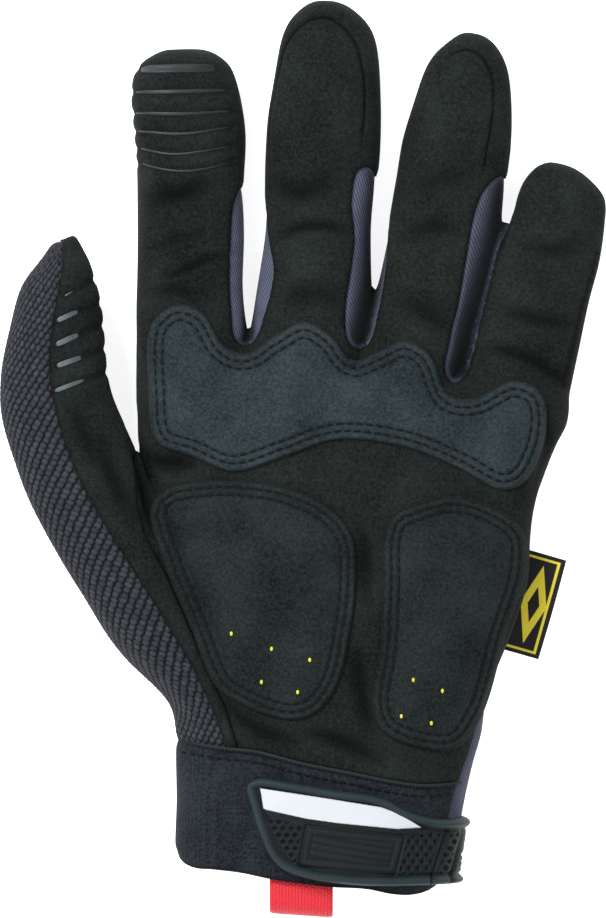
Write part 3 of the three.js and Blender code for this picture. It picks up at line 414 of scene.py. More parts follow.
# Floor, light and camera: floor and lights in metres and watts, lens and focus height in millimetres
FLOOR_REACH, FLOOR_DROP = 3.0, 0.0004
LIGHTS = {
    "key": dict(place=(-0.45, 0.5, 0.75), size=0.45, power=12.0),
    "fill": dict(place=(0.7, 0.2, 0.6), size=0.6, power=2.2),
    "low": dict(place=(-0.2, -0.8, 0.6), size=0.7, power=5.0),
}
WHITE = (1, 1, 1, 1)
WORLD_STRENGTH = 0.42
FLOOR_GLOW = 0.8
CAMERA_LENS, SENSOR = 500.0, 36.0
PHOTO_SIZE = (606, 918)
FOCUS_HEIGHT = 14.0


# Curves and tables

def dense(rows, steps=240):
    """A section table filled in by a cubic through its rows, with each row's slope from its neighbours."""
    along, values = rows[:, 0], rows[:, 1:]
    slopes = np.gradient(values, along, axis=0)
    fine = np.linspace(along[0], along[-1], steps)
    low = np.clip(np.searchsorted(along, fine, side="right") - 1, 0, len(along) - 2)
    span = along[low + 1] - along[low]
    part = ((fine - along[low]) / span)[:, None]
    span = span[:, None]
    start, end = values[low], values[low + 1]
    filled = (
        start * (1 + 2 * part) * (1 - part) ** 2
        + slopes[low] * span * part * (1 - part) ** 2
        + end * part ** 2 * (3 - 2 * part)
        + slopes[low + 1] * span * part ** 2 * (part - 1)
    )
    return fine, filled


def tip_dense(rows):
    """A digit's section table, filled in with even steps of the root of the distance left to its tip.

    Near a round tip the width grows with that root, so the cubic runs through it without corners.
    """
    warped = rows.copy()
    warped[:, 0] = -np.sqrt(1 - rows[:, 0])
    root, filled = dense(warped)
    return 1 - root ** 2, filled


def look_up(table, share):
    """Each column of a dense table at the given shares."""
    fine, filled = table
    return [np.interp(share, fine, column) for column in filled.T]


def smooth_loop(points, count=360):
    """A closed curve through the points, evened out to equal steps."""
    corners = np.asarray(points, float)
    size = len(corners)
    wrapped = np.concatenate([corners[-CURVE_OVERLAP:], corners, corners[:CURVE_OVERLAP + 1]])
    chords = np.linalg.norm(np.diff(wrapped, axis=0), axis=1) ** 0.5
    travel = np.concatenate([[0], np.cumsum(chords)])
    _, curve = dense(np.column_stack([travel, wrapped]), CURVE_FINENESS)
    first, last = travel[CURVE_OVERLAP], travel[CURVE_OVERLAP + size]
    fine = np.linspace(travel[0], travel[-1], CURVE_FINENESS)
    return even_steps(curve[(fine >= first) & (fine <= last)], count, closed=True)


def travelled(points):
    """How far each point of a line is along it from its start."""
    return np.concatenate([[0], np.cumsum(np.linalg.norm(np.diff(points, axis=0), axis=1))])


def even_steps(points, count, closed=False):
    """The same line with count points at equal distances."""
    line = np.concatenate([points, points[:1]]) if closed else points
    travel = travelled(line)
    at = np.linspace(0, travel[-1], count, endpoint=not closed)
    return np.column_stack([np.interp(at, travel, column) for column in line.T])


def line_length(points):
    """The sum of the straight pieces' lengths."""
    return float(np.linalg.norm(np.diff(points, axis=0), axis=1).sum())


def line_distance(plan, line):
    """The distance of each plan point from a line of straight pieces."""
    nearest = np.full(len(plan), np.inf)
    for start, end in zip(line[:-1], line[1:]):
        edge = end - start
        part = np.clip((plan - start) @ edge / (edge @ edge), 0, 1)
        offset = plan - start - part[:, None] * edge
        nearest = np.minimum(nearest, np.einsum("ij,ij->i", offset, offset))
    return np.sqrt(nearest)


def inside_distance(plan, outline):
    """The distance from a closed outline, positive inside it and negative outside."""
    loop = np.concatenate([outline, outline[:1]])
    crossings = np.zeros(len(plan), int)
    for start, end in zip(loop[:-1], loop[1:]):
        spans = (start[1] > plan[:, 1]) != (end[1] > plan[:, 1])
        rise = end[1] - start[1]
        at = start[0] + (plan[:, 1] - start[1]) * (end[0] - start[0]) / (rise if rise else 1)
        crossings += spans & (plan[:, 0] < at)
    return np.where(crossings % 2 == 1, 1, -1) * line_distance(plan, loop)


def on_palm(points):
    """Shares of the palm's width and length as millimetres."""
    return np.asarray(points, float) * (PALM_WIDTH, PALM_LENGTH)


def smooth_step(value, low, high):
    """0 below low, 1 above high, and between them three times the square less twice the cube of the share."""
    part = np.clip((value - low) / (high - low), 0, 1)
    return part * part * (3 - 2 * part)


def bell(distance, width):
    """1 at no distance, falling off as e to the minus square of the distance over the width."""
    return np.exp(-(distance / width) ** 2)


def quarter_round(inset, radius):
    """The height of a quarter circle, as a share of its radius, that rises from an edge."""
    return np.sqrt(1 - (1 - np.clip(inset / radius, 0, 1)) ** 2)


def traced(pixels):
    """Points traced on the photo as millimetres on the plan."""
    return (np.asarray(pixels, float) - PHOTO_HEM) * (PIXEL, -PIXEL)


def smooth_line(points, count):
    """An open curve through the points, in equal steps."""
    corners = np.asarray(points, float)
    if len(corners) > 2:
        corners = dense(np.column_stack([travelled(corners), corners]))[1]
    return even_steps(corners, count)


def traced_line(pixels, count=60):
    """A smooth line through points traced on the photo, as millimetres on the plan."""
    return smooth_line(traced(pixels), count)


def near_middle(plan, line, reach):
    """Which plan points lie within reach of a line's middle."""
    return np.linalg.norm(plan - line.mean(0), axis=1) < reach


# The hand's distance field

def body_table():
    """The sections of the cuff and the palm in millimetres, as one dense table."""
    palm = PALM_SECTIONS * (PALM_LENGTH, PALM_WIDTH, PALM_WIDTH, PALM_DEPTH)
    cuff = CUFF_SECTIONS * (CUFF_LENGTH, CUFF_WIDTH, CUFF_WIDTH, CUFF_DEPTH)
    return dense(np.concatenate([cuff, palm]), 600)


BODY = body_table()
BODY_END = PALM_SECTIONS[-1, 0] * PALM_LENGTH
TABLES = {
    name: tip_dense(digit["sections"] * (1, digit["width"], digit["width"], digit["depth"], digit["depth"]))
    for name, digit in DIGITS.items()
}


def section_distance(across, up, half_wide, half_deep, squareness):
    """About how far a point is from a superellipse: its scaled radius less one, over that radius's slope."""
    wide = np.abs(across) / half_wide
    deep = np.abs(up) / half_deep
    radius = (wide ** squareness + deep ** squareness) ** (1 / squareness) + 1e-6
    slope = np.hypot(
        (wide / radius) ** (squareness - 1) / half_wide,
        (deep / radius) ** (squareness - 1) / half_deep,
    )
    return (radius - 1) / slope


def capped(distance, beyond):
    """A distance with a round end: beyond is how far a point is past the last section."""
    return np.where(beyond > 0, np.hypot(np.maximum(distance, 0), beyond), np.maximum(distance, beyond))


def body_distance(points):
    """How far points are from the palm and cuff, whose sections are skewed by the cube of their place."""
    across, along, up = points.T
    along = np.clip(along, -2 * CUFF_LENGTH, None)
    left, right, _ = look_up(BODY, along)
    share = (across - (left + right) / 2) / (right - left)
    along = along - PALM_SKEW * PALM_LENGTH * np.clip(along / PALM_LENGTH, 0, SKEW_END) ** 3 * share
    left, right, deep = look_up(BODY, along)
    distance = section_distance(
        across - (left + right) / 2, up + FLOOR_SINK - deep / 2, (right - left) / 2, deep / 2, BODY_SQUARENESS
    )
    return capped(distance, along - BODY_END)


def digit_frame(name, points):
    """Where points are in a digit's own frame: along it from its root, and across it."""
    digit = DIGITS[name]
    lean = math.radians(digit["lean"])
    offset = points[:, :2] - on_palm(digit["root"])
    along = offset @ (math.sin(lean), math.cos(lean))
    across = offset @ (math.cos(lean), -math.sin(lean))
    return along, across


def digit_distance(name, points):
    """How far points are from a digit. Behind its root it runs on into the palm and shrinks."""
    along, across = digit_frame(name, points)
    length = DIGITS[name]["length"]
    mid, wide, deep, lift = look_up(TABLES[name], along / length)
    shrink = 1 - ROOT_FADE * np.clip(-along / ROOT_REACH, 0, 1)
    wide, deep = wide * shrink, deep * shrink
    distance = section_distance(
        across - mid, points[:, 2] - lift - deep / 2, wide / 2, deep / 2, DIGIT_SQUARENESS
    )
    return np.maximum(capped(distance, along - length), -along - ROOT_REACH)


def hand_distance(points):
    """The distance from the hand's skin, negative inside: a smooth union of the body and the digits."""
    parts = [body_distance(points)] + [digit_distance(name, points) for name in DIGITS]
    nearest = np.minimum.reduce(parts)
    total = sum(np.exp((nearest - part) / CREASE_BLEND) for part in parts)
    return nearest - CREASE_BLEND * np.log(total)


def slope_of(field, points, reach=0.05):
    """The gradient of a field, by differences of reach to both sides."""
    steps = np.eye(3) * reach
    return np.stack([(field(points + step) - field(points - step)) / (2 * reach) for step in steps], 1)


def settled(field, points, steps=3):
    """Points moved down or up the field's slope until they are on its surface."""
    for _ in range(steps):
        slope = slope_of(field, points)
        points = points - (field(points) / np.einsum("ij,ij->i", slope, slope))[:, None] * slope
    return points


def unit(vectors):
    """Vectors over their lengths."""
    return vectors / np.maximum(np.linalg.norm(vectors, axis=-1, keepdims=True), 1e-9)


def net_surface(field, low, high, step):
    """A field's surface as quads.

    A point lies in each cell that the surface crosses, and a quad round each crossed edge.
    """
    axes = [np.arange(start, end, step) for start, end in zip(low, high)]
    grid = np.stack(np.meshgrid(*axes, indexing="ij"), -1)
    inside = field(grid.reshape(-1, 3)).reshape(grid.shape[:3]) < 0
    size = [count - 1 for count in inside.shape]
    corners = sum(
        inside[i:i + size[0], j:j + size[1], k:k + size[2]].astype(int)
        for i in (0, 1) for j in (0, 1) for k in (0, 1)
    )
    crossed = (corners > 0) & (corners < 8)
    number = np.full(crossed.shape, -1)
    number[crossed] = np.arange(crossed.sum())
    vertices = np.array(low) + (np.argwhere(crossed) + 0.5) * step
    quads = []
    for axis in range(3):
        second, third = (axis + 1) % 3, (axis + 2) % 3
        before = np.take(inside, np.arange(inside.shape[axis] - 1), axis)
        after = np.take(inside, np.arange(1, inside.shape[axis]), axis)
        spots = np.argwhere(before != after)
        spots = spots[(spots[:, second] > 0) & (spots[:, third] > 0)]
        spots = spots[(spots[:, second] < size[second]) & (spots[:, third] < size[third])]
        back, down = np.eye(3, dtype=int)[[second, third]]
        ring = [number[tuple((spots - move).T)] for move in (0 * back, back, back + down, down)]
        quad = np.stack(ring, 1)
        leaves = before[tuple(spots.T)]
        quads.append(np.where(leaves[:, None], quad, quad[:, ::-1]))
    return vertices, np.concatenate(quads)


def evened(vertices, quads, rounds):
    """Each point moved to the middle of its neighbours, rounds times."""
    ends = np.concatenate([quads, np.roll(quads, -1, 1)]).reshape(2, -1)
    one = np.concatenate([ends[0], ends[1]])
    other = np.concatenate([ends[1], ends[0]])
    count = np.bincount(one, minlength=len(vertices))[:, None]
    for _ in range(rounds):
        summed = [np.bincount(one, vertices[other, axis], len(vertices)) for axis in range(3)]
        vertices = np.stack(summed, 1) / count
    return vertices


def clipped(vertices, triangles, values):
    """The part of a mesh where values is positive. Every column of vertices is filled in on the cut."""
    inside = values > 0
    count = inside[triangles].sum(1)
    mixed = triangles[(count == 1) | (count == 2)]
    single = inside[mixed].sum(1) == 1
    lone = np.argmax(inside[mixed] == single[:, None], 1)
    turned = np.take_along_axis(mixed, (lone[:, None] + np.arange(3)) % 3, 1)
    pairs = np.sort(np.concatenate([turned[:, [0, 1]], turned[:, [0, 2]]]), 1)
    edges, where = np.unique(pairs, axis=0, return_inverse=True)
    where = where.reshape(-1) + len(vertices)
    one, other = edges.T
    part = (values[one] / (values[one] - values[other]))[:, None]
    everything = np.concatenate([vertices, vertices[one] * (1 - part) + vertices[other] * part])
    first, second = where[:len(mixed)], where[len(mixed):]
    tip = np.stack([turned[:, 0], first, second], 1)[single]
    rest = ~single
    base = np.concatenate([
        np.stack([first, turned[:, 1], turned[:, 2]], 1)[rest],
        np.stack([first, turned[:, 2], second], 1)[rest],
    ])
    kept = np.concatenate([triangles[count == 3], tip, base])
    used, renamed = np.unique(kept, return_inverse=True)
    return everything[used], renamed.reshape(-1, 3)


def split_quads(quads):
    """Each quad as two triangles."""
    return np.concatenate([quads[:, [0, 1, 2]], quads[:, [0, 2, 3]]])


def as_grid(rows, columns, closed=False):
    """The quads of a grid of points, row after row."""
    across = np.arange(columns if closed else columns - 1)
    first = (np.arange(rows - 1)[:, None] * columns + across).reshape(-1)
    second = (np.arange(rows - 1)[:, None] * columns + (across + 1) % columns).reshape(-1)
    return np.stack([first, second, second + columns, first + columns], 1)


def repeated(quads, count, size):
    """The quads of count copies of a mesh of size points."""
    starts = np.arange(count)[:, None, None] * size
    return (quads[None] + starts).reshape(-1, 4)


# Meshes

def add_mesh(name, vertices, faces, material, slot, uv=None, **marks):
    """A mesh object from whole arrays, in millimetres in the hand's frame, riding on the frame's root.

    Each mark is a number for each vertex, kept as an attribute that the materials read.
    """
    mesh = bpy.data.meshes.new(name)
    sides = faces.shape[1]
    mesh.vertices.add(len(vertices))
    mesh.vertices.foreach_set("co", ((vertices[:, :3] + ROW_SHIFT) * MM).astype(np.float32).reshape(-1))
    mesh.loops.add(faces.size)
    mesh.loops.foreach_set("vertex_index", faces.astype(np.int32).reshape(-1))
    mesh.polygons.add(len(faces))
    mesh.polygons.foreach_set("loop_start", np.arange(0, faces.size, sides, dtype=np.int32))
    mesh.update(calc_edges=True)
    if uv is not None:
        layer = mesh.uv_layers.new(name="UVMap")
        layer.data.foreach_set("uv", (uv[faces.reshape(-1)] * MM).astype(np.float32).reshape(-1))
    for mark, values in marks.items():
        mesh.attributes.new(mark, "FLOAT", "POINT").data.foreach_set("value", values.astype(np.float32))
    mesh.shade_smooth()
    mesh.materials.append(material)
    piece = bpy.data.objects.new(name, mesh)
    bpy.context.scene.collection.objects.link(piece)
    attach(piece, "root")
    return piece


def thicken(piece, thickness):
    """Solid from a skin, by thickness millimetres inwards."""
    solid = piece.modifiers.new("thickness", "SOLIDIFY")
    solid.thickness = thickness * MM
    solid.offset = -1
    return piece


# Regions of the panels, positive inside

def above_traced(points, pixels):
    """How far points are above a traced line that runs across the whole hand."""
    across, along = traced_line(pixels).T
    return (points[:, 1] - np.interp(points[:, 0], across, along)) * math.cos(HEM_SLANT)


def left_of_traced(points, pixels):
    """How far points are to the left of a traced line that runs along the whole thumb."""
    across, along = traced_line(pixels, 120).T
    beside = np.interp(points[:, 1], along[::-1], across[::-1])
    slope = np.interp(points[:, 1], along[::-1], np.gradient(across, along)[::-1])
    return (beside - points[:, 0]) / np.hypot(1, slope)


def thumb_side(points, seam):
    """How far points are to the right of a seam on the thumb, at a share of its half width."""
    along, across = digit_frame("thumb", points)
    mid, wide, _, _ = look_up(TABLES["thumb"], along / DIGITS["thumb"]["length"])
    return across - mid - seam * wide / 2


def panel_regions(points):
    """The value of each panel's region at points on the skin."""
    plan, up = points[:, :2], points[:, 2]
    above_hem = above_traced(points, HEM_LINE)
    above_end = above_traced(points, END_LINE)
    knit = left_of_traced(points, KNIT_LINE)
    below_crotch = CROTCH_HEIGHT - plan[:, 1]
    behind = np.maximum(np.minimum(thumb_side(points, THUMB_BACK_SEAM), below_crotch), -below_crotch)
    back = np.minimum(behind, SIDE_SEAM_HEIGHT - up)
    strip = np.minimum(plan[:, 0] - STRIP_X - STRIP_SLOPE * plan[:, 1], STRIP_LENGTH - plan[:, 1])
    heel = np.minimum.reduce([
        plan[:, 0] - STRIP_EDGE + FINGER_WIDTH, STRIP_LENGTH - plan[:, 1], CUFF_DEPTH / 2 - up,
    ])
    walls = {
        name: np.minimum(inside_distance(plan, smooth_loop(traced(outline), 90)), up - SIDE_SEAM_HEIGHT)
        for name, (_, _, _, outline) in SIDE_WALLS.items()
    }
    thumb = np.maximum(inside_distance(plan, on_palm(THUMB_OUTLINE)), SIDE_SEAM_HEIGHT - up)
    under = np.minimum(np.maximum(back, heel), above_hem)
    fabric = np.minimum(np.maximum(under, strip), above_end)
    leather = np.minimum.reduce([above_hem, -knit, -back, -strip, -heel] + [-wall for wall in walls.values()])
    return {
        "palm_leather": np.minimum(leather, -thumb),
        "thumb_leather": np.minimum(leather, thumb),
        "back_panel": np.minimum(fabric, -np.minimum(knit, above_hem)),
        "thumb_knit": np.minimum(knit, above_hem),
        "cuff": np.minimum.reduce([-above_hem, above_end, -strip]),
        **walls,
    }


# Relief of the skin

random = np.random.default_rng(SEED)
WAVES = random.normal(size=(WAVE_COUNT, 3)) * WAVE_RATES
WAVE_STARTS = random.uniform(0, 2 * math.pi, WAVE_COUNT)


def undulation(points):
    """Soft unevenness: long waves of random direction, added."""
    return WAVE_HEIGHT * np.sin(points @ WAVES.T + WAVE_STARTS).sum(1)


def fold_relief(plan):
    """The folds' relief, and how deep each point lies in one, from 0 to 1, for painted shade.

    A fold is a bell-shaped valley along a line, shallower to both ends, with a low swell on both sides.
    """
    height, valley = np.zeros(len(plan)), np.zeros(len(plan))
    for depth, half_width, pixels in FOLDS:
        line = traced_line(pixels, 24)
        reach = np.linalg.norm(line - line.mean(0), axis=1).max() + FOLD_REACH * half_width
        near = near_middle(plan, line, reach)
        off = np.linalg.norm(plan[near, None] - line[None], axis=2)
        travel = off.argmin(1) / (len(line) - 1)
        fade = np.sqrt(np.sin(math.pi * np.clip(travel, FOLD_END, 1 - FOLD_END)))
        share = off.min(1) / half_width
        crease = fade * bell(share, 1)
        height[near] += FOLD_STRENGTH * depth * (FOLD_SWELL * fade * bell(share - FOLD_SWELL_OFF, 1) - crease)
        valley[near] = np.maximum(valley[near], min(FOLD_STRENGTH * depth, 1) * crease)
    return height, valley


def grip_crease(points):
    """How deep points lie in the creases between the swelling bands of the grips, from 0 to 1."""
    crease = np.zeros(len(points))
    for _, _, pixels in INDEX_GRIP + THUMB_GRIP:
        line = traced(pixels)
        near = near_middle(points[:, :2], line, GRIP_REACH)
        crease[near] = np.maximum(crease[near], bell(line_distance(points[near, :2], line), GRIP_WIDTH))
    return crease * smooth_step(points[:, 2], GRIP_FLOOR, GRIP_FLOOR + GRIP_FADE)


def relief(points, normals):
    """The height of the skin's relief over the smooth hand, and the shade painted in its folds and grip
    creases.
    """
    facing = smooth_step(normals[:, 2], *FOLD_FACING)
    fold, valley = fold_relief(points[:, :2])
    crease = grip_crease(points)
    height = undulation(points) + fold * facing - GRIP_DEPTH * crease
    return height, np.maximum(valley * facing, GRIP_SHADE * crease)


def unrolled(points, normals):
    """Cloth coordinates of the skin: across it with the drop at the sides laid flat, and along it."""
    drop = points[:, 2] * np.tanh(SIDE_DROP * normals[:, 0])
    return np.column_stack([points[:, 0] - drop, points[:, 1]])


def quartered(vertices, triangles):
    """Each triangle as four, with a new point in the middle of each edge."""
    pairs = np.sort(np.concatenate([triangles[:, [0, 1]], triangles[:, [1, 2]], triangles[:, [2, 0]]]), 1)
    edges, where = np.unique(pairs, axis=0, return_inverse=True)
    first, second, third = where.reshape(3, -1) + len(vertices)
    a, b, c = triangles.T
    smaller = [(a, first, third), (first, b, second), (third, second, c), (first, second, third)]
    return (
        np.concatenate([vertices, vertices[edges].mean(1)]),
        np.concatenate([np.stack(corners, 1) for corners in smaller]),
    )


def make_skin():
    """The hand's skin: points on the distance field, their normals, and triangles."""
    vertices, quads = net_surface(hand_distance, SKIN_LOW, SKIN_HIGH, SKIN_STEP)
    vertices = settled(hand_distance, evened(vertices, quads, SKIN_ROUNDS))
    normals = unit(slope_of(hand_distance, vertices))
    return vertices, normals, split_quads(quads)


def surface_height(plan, low=PALM_LOW, high=PALM_HIGH):
    """The height of the palm side over plan points, by halving the span that it lies in."""
    bottom, top = np.full(len(plan), low), np.full(len(plan), high)
    for _ in range(HALVINGS):
        middle = (bottom + top) / 2
        inside = hand_distance(np.column_stack([plan, middle])) < 0
        bottom, top = np.where(inside, middle, bottom), np.where(inside, top, middle)
    height = (bottom + top) / 2
    points = np.column_stack([plan, height])
    return height + undulation(points) + fold_relief(plan)[0]


def knit_grain(cloth):
    """Knitted beads: lines of beads that lean across the thumb, set off by half a bead from line to line.

    Small waves bend the lines. The second value is each bead's own shade, from 0 to 1, which scatters from
    bead to bead as the fraction of a large sine.
    """
    slow, quick, cross = [
        KNIT_WAVE_HEIGHT * np.sin(rate * cloth[:, axis] + start) for rate, axis, start in KNIT_WAVES
    ]
    across = cloth[:, 0] + slow + quick
    along = cloth[:, 1] + cross
    line = (across * math.cos(KNIT_LEAN) - along * math.sin(KNIT_LEAN)) / KNIT_COLUMN
    bead = (across * math.sin(KNIT_LEAN) + along * math.cos(KNIT_LEAN)) / KNIT_ROW
    bead = bead + 0.5 * np.floor(line)
    ridge = np.abs(np.sin(math.pi * line)) ** KNIT_ROUND
    grain = ridge * (KNIT_LEAST + (1 - KNIT_LEAST) * np.abs(np.sin(math.pi * bead)) ** KNIT_ROUND)
    by_line, by_bead, spread = KNIT_SCATTER
    shade = np.sin(by_line * np.floor(line) + by_bead * np.floor(bead)) * spread
    return grain, shade - np.floor(shade)


def round_thumb(points):
    """Cloth coordinates on the thumb: round it from its outer side, by a mean radius, and along it."""
    along, across = digit_frame("thumb", points)
    mid, wide, deep, lift = look_up(TABLES["thumb"], along / DIGITS["thumb"]["length"])
    turn = np.arctan2((points[:, 2] - lift - deep / 2) / deep, (mid - across) / wide)
    return np.column_stack([turn * THUMB_RADIUS, along])


# Panels of the skin

def wall_shade(name, place, inset):
    """Shade painted on a finger's side wall, from the distance to the finger across the gap, not at its seam.
    """
    left, right, narrow, _ = SIDE_WALLS[name]
    across = np.maximum(digit_distance(left, place), digit_distance(right, place))
    return (1 - smooth_step(across, GAP_DARK * narrow, narrow)) * smooth_step(inset, *WALL_SEAM_EDGE)


def tip_seam(plan):
    """How near plan points are to the fingertips' seams, from 0 to 1, less towards a seam's ends."""
    seam = np.zeros(len(plan))
    for pixels in TIP_SEAMS:
        line = traced_line(pixels)
        near = near_middle(plan, line, line_length(line) * TIP_SEAM_REACH)
        nearest = np.linalg.norm(plan[near, None] - line[None], axis=2).argmin(1)
        fade = smooth_step(np.minimum(nearest, len(line) - 1 - nearest) / TIP_SEAM_FADE, 0, 1)
        seam[near] = fade * bell(line_distance(plan[near], line), TIP_SEAM_WIDTH)
    return seam


def scored(rows, faces):
    """The mesh cut along the fingertips' seams, so that a row of its points lies in each."""
    for pixels in TIP_SEAMS:
        line = traced_line(pixels)
        beside, above = line[:, 0].max() + TIP_MARGIN, line[:, 1].max() + 2 * TIP_MARGIN
        region = np.concatenate([line, [(beside, line[-1, 1]), (beside, above), (line[0, 0], above)]])
        value = inside_distance(rows[:, :2], region)
        one_rows, one_faces = clipped(rows, faces, value)
        other_rows, other_faces = clipped(rows, faces, -value)
        rows = np.concatenate([one_rows, other_rows])
        faces = np.concatenate([one_faces, other_faces + len(one_rows)])
        _, kept, shared = np.unique(np.round(rows[:, :3], 3), axis=0, return_index=True, return_inverse=True)
        rows, faces = rows[kept], shared.reshape(-1)[faces]
    return rows, faces


def make_panels():
    """The skin cut along the seams, each panel with its relief, its painted shade and its edge rolled under.
    """
    points, normals, triangles = make_skin()
    regions = panel_regions(points)
    for name, facts in PANELS.items():
        value = regions[name] + facts["tuck"]
        rows, faces = clipped(np.column_stack([points, normals, value]), triangles, value)
        if name == "palm_leather":
            rows, faces = scored(rows, faces)
        if name == "thumb_knit":
            rows, faces = quartered(rows, faces)
        place, normal, inset = rows[:, :3], unit(rows[:, 3:6]), rows[:, 6]
        # Painted shade: in folds and grip creases, and along each panel's seams.
        height, hollow = relief(place, normal)
        height -= facts["sink"] * bell(inset, facts["roll"])
        hollow = np.maximum(hollow, SEAM_SHADE * bell(inset, SEAM_WIDTH))
        marks = {}
        cloth = unrolled(place, normal)
        if name == "palm_leather":
            # The fingertips' seams sink, and shade is painted along them and along the little finger's side
            # seam.
            seam = tip_seam(place[:, :2]) * smooth_step(normal[:, 2], *TIP_SEAM_FACING)
            height -= TIP_SEAM_DEPTH * seam
            side = bell(line_distance(place[:, :2], traced(SIDE_SEAM)), SIDE_SEAM_WIDTH)
            hollow = np.maximum.reduce([hollow, seam, SIDE_SEAM_SHADE * side])
        if name == "thumb_knit":
            cloth = round_thumb(place)
            marks["grain"], marks["shade"] = knit_grain(cloth)
            height += KNIT_HEIGHT * (marks["grain"] - 1)
        # Painted shade deep in the narrow gaps between the fingers.
        if name in SIDE_WALLS:
            hollow = np.maximum(hollow * WALL_SEAM_SHADE, wall_shade(name, place, inset))
            cloth = np.column_stack([np.sign(normal[:, 0]) * place[:, 0] - place[:, 2], place[:, 1]])
        place = place + normal * height[:, None]
        place[:, 2] = np.maximum(place[:, 2], 0)
        piece = add_mesh(name + "_cover", place, faces, MATERIALS[facts["slot"]], facts["slot"], uv=cloth,
                         hollow=hollow, **marks)
        thicken(piece, SKIN_THICKNESS)
        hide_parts(name)


# Pads

def pad_profile(inset):
    """The pad's height at a distance from its edge: a quarter round, less the channels, plus the crown."""
    crown = PAD_CROWN * smooth_step(inset, CHANNELS[1], PAD_CROWN_EDGE)
    return PAD_LIFT * quarter_round(inset, PAD_ROLL) + crown - CHANNEL_DEPTH * pad_channel(inset)


def pad_channel(inset):
    """How deep a distance from the pad's edge lies in a sewn channel, from 0 to 1."""
    return sum(bell(inset - channel, CHANNEL_WIDTH) for channel in CHANNELS)


def plan_grid(outline, step):
    """Plan points on a square grid over an outline, and the grid's quads."""
    low, high = outline.min(0) - step, outline.max(0) + step
    across, along = np.arange(low[0], high[0], step), np.arange(low[1], high[1], step)
    points = np.stack(np.meshgrid(across, along), -1).reshape(-1, 2)
    return points, as_grid(len(along), len(across))


def make_pad(name, outline, slot):
    """A pad over the skin inside an outline, and that outline as a plan line."""
    loop = smooth_loop(on_palm(outline), 160)
    plan, quads = plan_grid(loop, PAD_STEP)
    inset = inside_distance(plan, loop)
    rows, faces = clipped(np.column_stack([plan, inset]), split_quads(quads), inset)
    plan, inset = rows[:, :2], rows[:, 2]
    height = surface_height(plan) + pad_profile(inset)
    # Shade painted in the channels and at the foot of the pad's edge.
    hollow = np.maximum(CHANNEL_SHADE * pad_channel(inset), PAD_EDGE_SHADE * bell(inset, PAD_EDGE_WIDTH))
    piece = add_mesh(name + "_cover", np.column_stack([plan, height]), faces, MATERIALS[slot], slot, uv=plan,
                     hollow=hollow)
    thicken(piece, PAD_LIFT)
    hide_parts(name)
    return loop


# Threads and ribbons laid on the skin

def add_stitches(name, centres, tangents, length, radius, material):
    """Short threads: a round section that shrinks to both ends of an arched line, at each centre."""
    share = np.linspace(-1, 1, STITCH_RINGS)[:, None]
    turn = np.linspace(0, 2 * math.pi, STITCH_SIDES, endpoint=False)[None, :]
    round_off = radius * np.sqrt(STITCH_BLUNTNESS - share ** 2)
    forward = share * length / 2 + 0 * turn
    sideways = round_off * np.cos(turn)
    upwards = round_off * np.sin(turn) + STITCH_ARCH * (1 - share ** 2)
    along = unit(tangents)
    side = unit(np.cross((0, 0, 1), along))
    up = np.cross(along, side)
    shape = (
        centres[:, None, None, :]
        + forward[None, ..., None] * along[:, None, None, :]
        + sideways[None, ..., None] * side[:, None, None, :]
        + upwards[None, ..., None] * up[:, None, None, :]
    )
    ring = as_grid(STITCH_RINGS, STITCH_SIDES, closed=True)
    faces = repeated(ring, len(centres), STITCH_RINGS * STITCH_SIDES)
    return add_mesh(name, shape.reshape(-1, 3), faces[:, ::-1], material, None)


def inset_loop(loop, inset):
    """A closed outline moved inwards."""
    ahead = unit(np.roll(loop, -1, 0) - np.roll(loop, 1, 0))
    twice_area = (loop[:, 0] * np.roll(loop[:, 1], -1) - np.roll(loop[:, 0], -1) * loop[:, 1]).sum()
    inward = np.column_stack([-ahead[:, 1], ahead[:, 0]]) * np.sign(twice_area)
    return loop + inward * inset


def sew(name, line, pitch, lift, closed=False, length=STITCH_LENGTH, radius=STITCH_RADIUS,
        material="thread", turn=0.0):
    """Stitches at even steps of pitch along a plan line, lift above the skin.

    Each is turned from the line by turn.
    """
    travel = line_length(np.concatenate([line, line[:1]]) if closed else line)
    count = max(4, round(travel / pitch))
    plan = even_steps(line, count, closed)
    centres = np.column_stack([plan, surface_height(plan) + lift])
    ahead = np.roll(centres, -1, 0) - np.roll(centres, 1, 0)
    if not closed:
        ahead = np.gradient(centres, axis=0)
    ahead = ahead @ np.array([
        (math.cos(turn), math.sin(turn), 0), (-math.sin(turn), math.cos(turn), 0), (0, 0, 1),
    ])
    return add_stitches(name, centres, ahead, length, radius, MATERIALS[material])


def on_skin(plan, lift):
    """Points over the nearest skin, lift above it, and their normals."""
    points = np.column_stack([plan, surface_height(plan, low=EDGE_LOW)])
    normals = unit(slope_of(hand_distance, points))
    points = points - hand_distance(points)[:, None] * normals
    return points + normals * (relief(points, normals)[0] + lift)[:, None]


